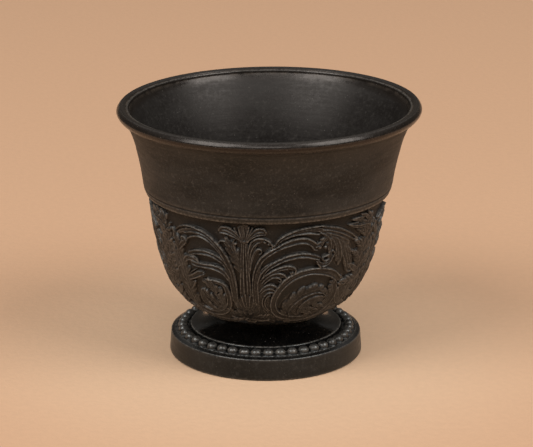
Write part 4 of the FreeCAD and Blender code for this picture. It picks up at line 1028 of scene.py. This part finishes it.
def stoneware(name, dry, gloss, dust, wear, painted_shade, turned, polished=BLACK_CLAY, tint=OUTER_TINT, grit=0.14):
    """Black stoneware: dry gives its roughness, and dust, wear and painted_shade how much its marks show;
    wear also paints highlights on edges, and painted_shade paints shade in creases.
    """
    shader = Shader(name)
    polish, crease = shader.mark("polish"), shader.mark("crease")
    cloud = shader.noise(CLOUD, 5, shader.stretched(CLOUD_STRETCH) if turned else shader.place)
    mottle = shader.noise(MOTTLE, 5)
    colour = shader.blend(shader.ramp(cloud, 0.38, 0.66), DARK_CLAY, WARM_CLAY)
    colour = shader.blend(shader.ramp(mottle, 0.5, 0.8, 0, 0.34), colour, PALE_CLAY)
    colour = shader.blend(shader.ramp(shader.noise(GRIT, 3), 0.48, 0.75, 0, grit), colour, PALE_CLAY)
    colour = shader.blend(shader.ramp(polish, 0, 0.6, 0, 0.92), colour, polished)
    # Creases go near black: painted shade, as strong as painted_shade says
    colour = shader.blend(shader.product(crease, painted_shade), colour, SHADE_BLACK)
    hollow = shader.product(crease, shader.ramp(shader.noise(PATCH, 3), 0.35, 0.65))
    colour = shader.blend(shader.product(hollow, dust), colour, DUST)
    # Edges and ridges go pale: partly wear, partly a painted highlight
    bare_and_highlight = shader.product(shader.mark("edge"), shader.ramp(shader.noise(CHIP, 4), 0.36, 0.62, 0.15, 1))
    colour = shader.blend(shader.product(bare_and_highlight, wear), colour, PALE_CLAY)
    for width, strength in SPECKS:
        cells = shader.add("ShaderNodeTexVoronoi", {"Vector": shader.place, "Scale": 1 / (width * MM)})
        chosen = shader.ramp(cells.outputs["Color"], 0.52, 0.8)
        dots = shader.product(shader.ramp(cells.outputs["Distance"], 0.06, 0.12, 1, 0), chosen)
        colour = shader.blend(shader.product(dots, strength), colour, SPECK)
    shader.set("Base Color", colour)

    rough = shader.ramp(mottle, 0.3, 0.7, dry - MOTTLE_ROUGHNESS, dry + MOTTLE_ROUGHNESS)
    for mark, change in ((polish, POLISH_ROUGHNESS), (hollow, DUST_ROUGHNESS), (bare_and_highlight, WEAR_ROUGHNESS)):
        rough = shader.total(rough, shader.product(mark, change))
    relief = shader.total(shader.product(shader.noise(GRAIN, 2), 0.35), shader.product(mottle, 0.65))
    if turned:
        rings = shader.noise(RING, 4, shader.stretched(RING_STRETCH))
        scuffs = shader.noise(SCUFF, 3, shader.stretched(SCUFF_STRETCH))
        rough = shader.total(rough, shader.ramp(scuffs, 0.3, 0.7, -SCUFF_ROUGHNESS, SCUFF_ROUGHNESS))
        relief = shader.total(relief, shader.product(shader.total(rings, scuffs), 0.5))
    shader.set("Roughness", rough)
    shader.set("Specular IOR Level", gloss)
    shader.set("Specular Tint", (*tint, 1))
    bump = shader.add("ShaderNodeBump", {
        "Height": relief,
        "Strength": shader.ramp(polish, 0.4, 1, DRY_BUMP, POLISHED_BUMP),
        "Distance": BUMP_DEPTH * grit * MM,
    })
    shader.set("Normal", bump.outputs["Normal"])
    return shader.material


def use_second_material(mesh, mark):
    """Gives the mesh's second material to its faces where the mark is above zero."""
    values = np.zeros(len(mesh.vertices))
    starts, corners = (np.zeros(len(parts), int) for parts in (mesh.polygons, mesh.loops))
    mesh.attributes[mark].data.foreach_get("value", values)
    mesh.polygons.foreach_get("loop_start", starts)
    mesh.loops.foreach_get("vertex_index", corners)
    mesh.polygons.foreach_set("material_index", (values[corners[starts + 1]] > 0).astype(int))


basalt_cup = stoneware("basalt_cup", dry=0.56, gloss=0.39, dust=0.15, wear=1, painted_shade=0.95, turned=True)
basalt_inside = stoneware(
    "basalt_inside", dry=0.61, gloss=0.39, dust=1, wear=0.6, painted_shade=0, turned=True, polished=INNER_CLAY,
    tint=INNER_TINT, grit=0.09,
)
basalt_foot = stoneware("basalt_foot", dry=0.50, gloss=0.40, dust=0.4, wear=1, painted_shade=0.3, turned=True)
basalt_beads = stoneware("basalt_beads", dry=0.36, gloss=0.6, dust=0.2, wear=0.9, painted_shade=1, turned=False)
basalt_relief = stoneware(
    "basalt_relief", dry=0.42, gloss=0.38, dust=0.2, wear=1, painted_shade=1, turned=False, tint=RELIEF_TINT, grit=0.26
)
cup.data.materials.append(basalt_cup)
cup.data.materials.append(basalt_inside)
use_second_material(cup.data, "polish")
foot.data.materials.append(basalt_foot)
band.data.materials.append(basalt_beads)
for sprig in sprigs:
    sprig.data.materials.append(basalt_relief)

# Floor of pale paper, with a painted pool of light: its tone falls away from the cup

FLOOR_REACH = 3.0
FLOOR_POOL_COLOUR = (0.76, 0.51, 0.33)
FLOOR_BEYOND_POOL = (0.635, 0.388, 0.237)
FLOOR_NEAR_REACH, FLOOR_AWAY_REACH = 35, 125
FIBRE = 2.5
FIBRE_SHARE = 0.04
FIBRE_DEPTH = 0.2
floor_corners = [(x * FLOOR_REACH, y * FLOOR_REACH, 0) for x, y in ((-1, -1), (1, -1), (1, 1), (-1, 1))]
floor_mesh = bpy.data.meshes.new("floor")
floor_mesh.from_pydata(floor_corners, [], [(0, 1, 2, 3)])
floor = bpy.data.objects.new("floor", floor_mesh)
bpy.context.scene.collection.objects.link(floor)
paper = Shader("paper")
fibre = paper.ramp(paper.noise(FIBRE, 5), 0.3, 0.7)
distance = paper.add("ShaderNodeVectorMath", {0: paper.place}, operation="LENGTH").outputs["Value"]
# Lighter near the cup and darker further off: a painted pool of light
away = paper.ramp(distance, FLOOR_NEAR_REACH * MM, FLOOR_AWAY_REACH * MM)
colour = paper.blend(away, FLOOR_POOL_COLOUR, FLOOR_BEYOND_POOL)
paper.set("Base Color", paper.blend(paper.product(fibre, FIBRE_SHARE), colour, PALE_CLAY))
paper.set("Roughness", 0.85)
paper_bump = paper.add("ShaderNodeBump", {"Height": fibre, "Strength": 0.3, "Distance": FIBRE_DEPTH * MM})
paper.set("Normal", paper_bump.outputs["Normal"])
floor_mesh.materials.append(paper.material)

# Soft lamps: name, place, width and height in metres, and watts

LIGHT_TINT = (1.0, 0.98, 0.95)
LIGHT_AIM = Vector((0, 0, 0.04))
LAMPS = (
    ("left_light", (-1.21, -0.89, 1.60), 1.20, 1.20, 23.8),
    ("right_light", (1.29, -0.74, 1.60), 1.20, 1.20, 23.4),
    ("front_light", (-0.10, -1.38, 1.45), 1.00, 0.34, 3.5),
)
for name, place, width, height, watts in LAMPS:
    light = bpy.data.lights.new(name, "AREA")
    light.shape = "RECTANGLE"
    light.size, light.size_y = width, height
    light.energy = watts
    light.color = LIGHT_TINT
    lamp = bpy.data.objects.new(name, light)
    lamp.location = place
    lamp.rotation_euler = (LIGHT_AIM - Vector(place)).to_track_quat("-Z", "Y").to_euler()
    bpy.context.scene.collection.objects.link(lamp)

# The studio is dim and warm round about and pale overhead

SKY_LEVELS = {"From Min": 0.35, "From Max": 0.9, "To Min": 0, "To Max": 1}
SKY_LOW = (0.095, 0.080, 0.066)
SKY_HIGH = (0.60, 0.58, 0.56)
world = bpy.data.worlds.new("studio")
world.use_nodes = True
nodes, links = world.node_tree.nodes, world.node_tree.links
direction, parts, level, sky = (
    nodes.new(f"ShaderNode{kind}") for kind in ("TexCoord", "SeparateXYZ", "MapRange", "Mix")
)
sky.data_type = "RGBA"
for socket, value in SKY_LEVELS.items():
    level.inputs[socket].default_value = value
sky.inputs[6].default_value = (*SKY_LOW, 1)
sky.inputs[7].default_value = (*SKY_HIGH, 1)
links.new(direction.outputs["Generated"], parts.inputs[0])
links.new(parts.outputs["Z"], level.inputs["Value"])
links.new(level.outputs["Result"], sky.inputs[0])
links.new(sky.outputs[2], nodes["Background"].inputs["Color"])
bpy.context.scene.world = world
bpy.context.scene.view_settings.view_transform = "Standard"

# Camera, fitted to the photo

PHOTO_WIDTH = 533
FOCAL_PIXELS = 2532.4
CAMERA_PLACE = Vector((0.16, -801.6, 298.4))
CAMERA_AIM = Vector((0.16, 0.0, 43.67))
CAMERA_ROLL = 0.154
camera = bpy.data.cameras.new("camera")
camera.sensor_fit = "HORIZONTAL"
camera.lens = FOCAL_PIXELS * camera.sensor_width / PHOTO_WIDTH
camera.clip_start = 0.05
view = bpy.data.objects.new("camera", camera)
facing = (CAMERA_AIM - CAMERA_PLACE).to_track_quat("-Z", "Y").to_matrix().to_4x4()
stand = Matrix.Translation(CAMERA_PLACE * MM)
view.matrix_world = stand @ facing @ Matrix.Rotation(math.radians(CAMERA_ROLL), 4, "Z")
bpy.context.scene.collection.objects.link(view)
bpy.context.scene.camera = view
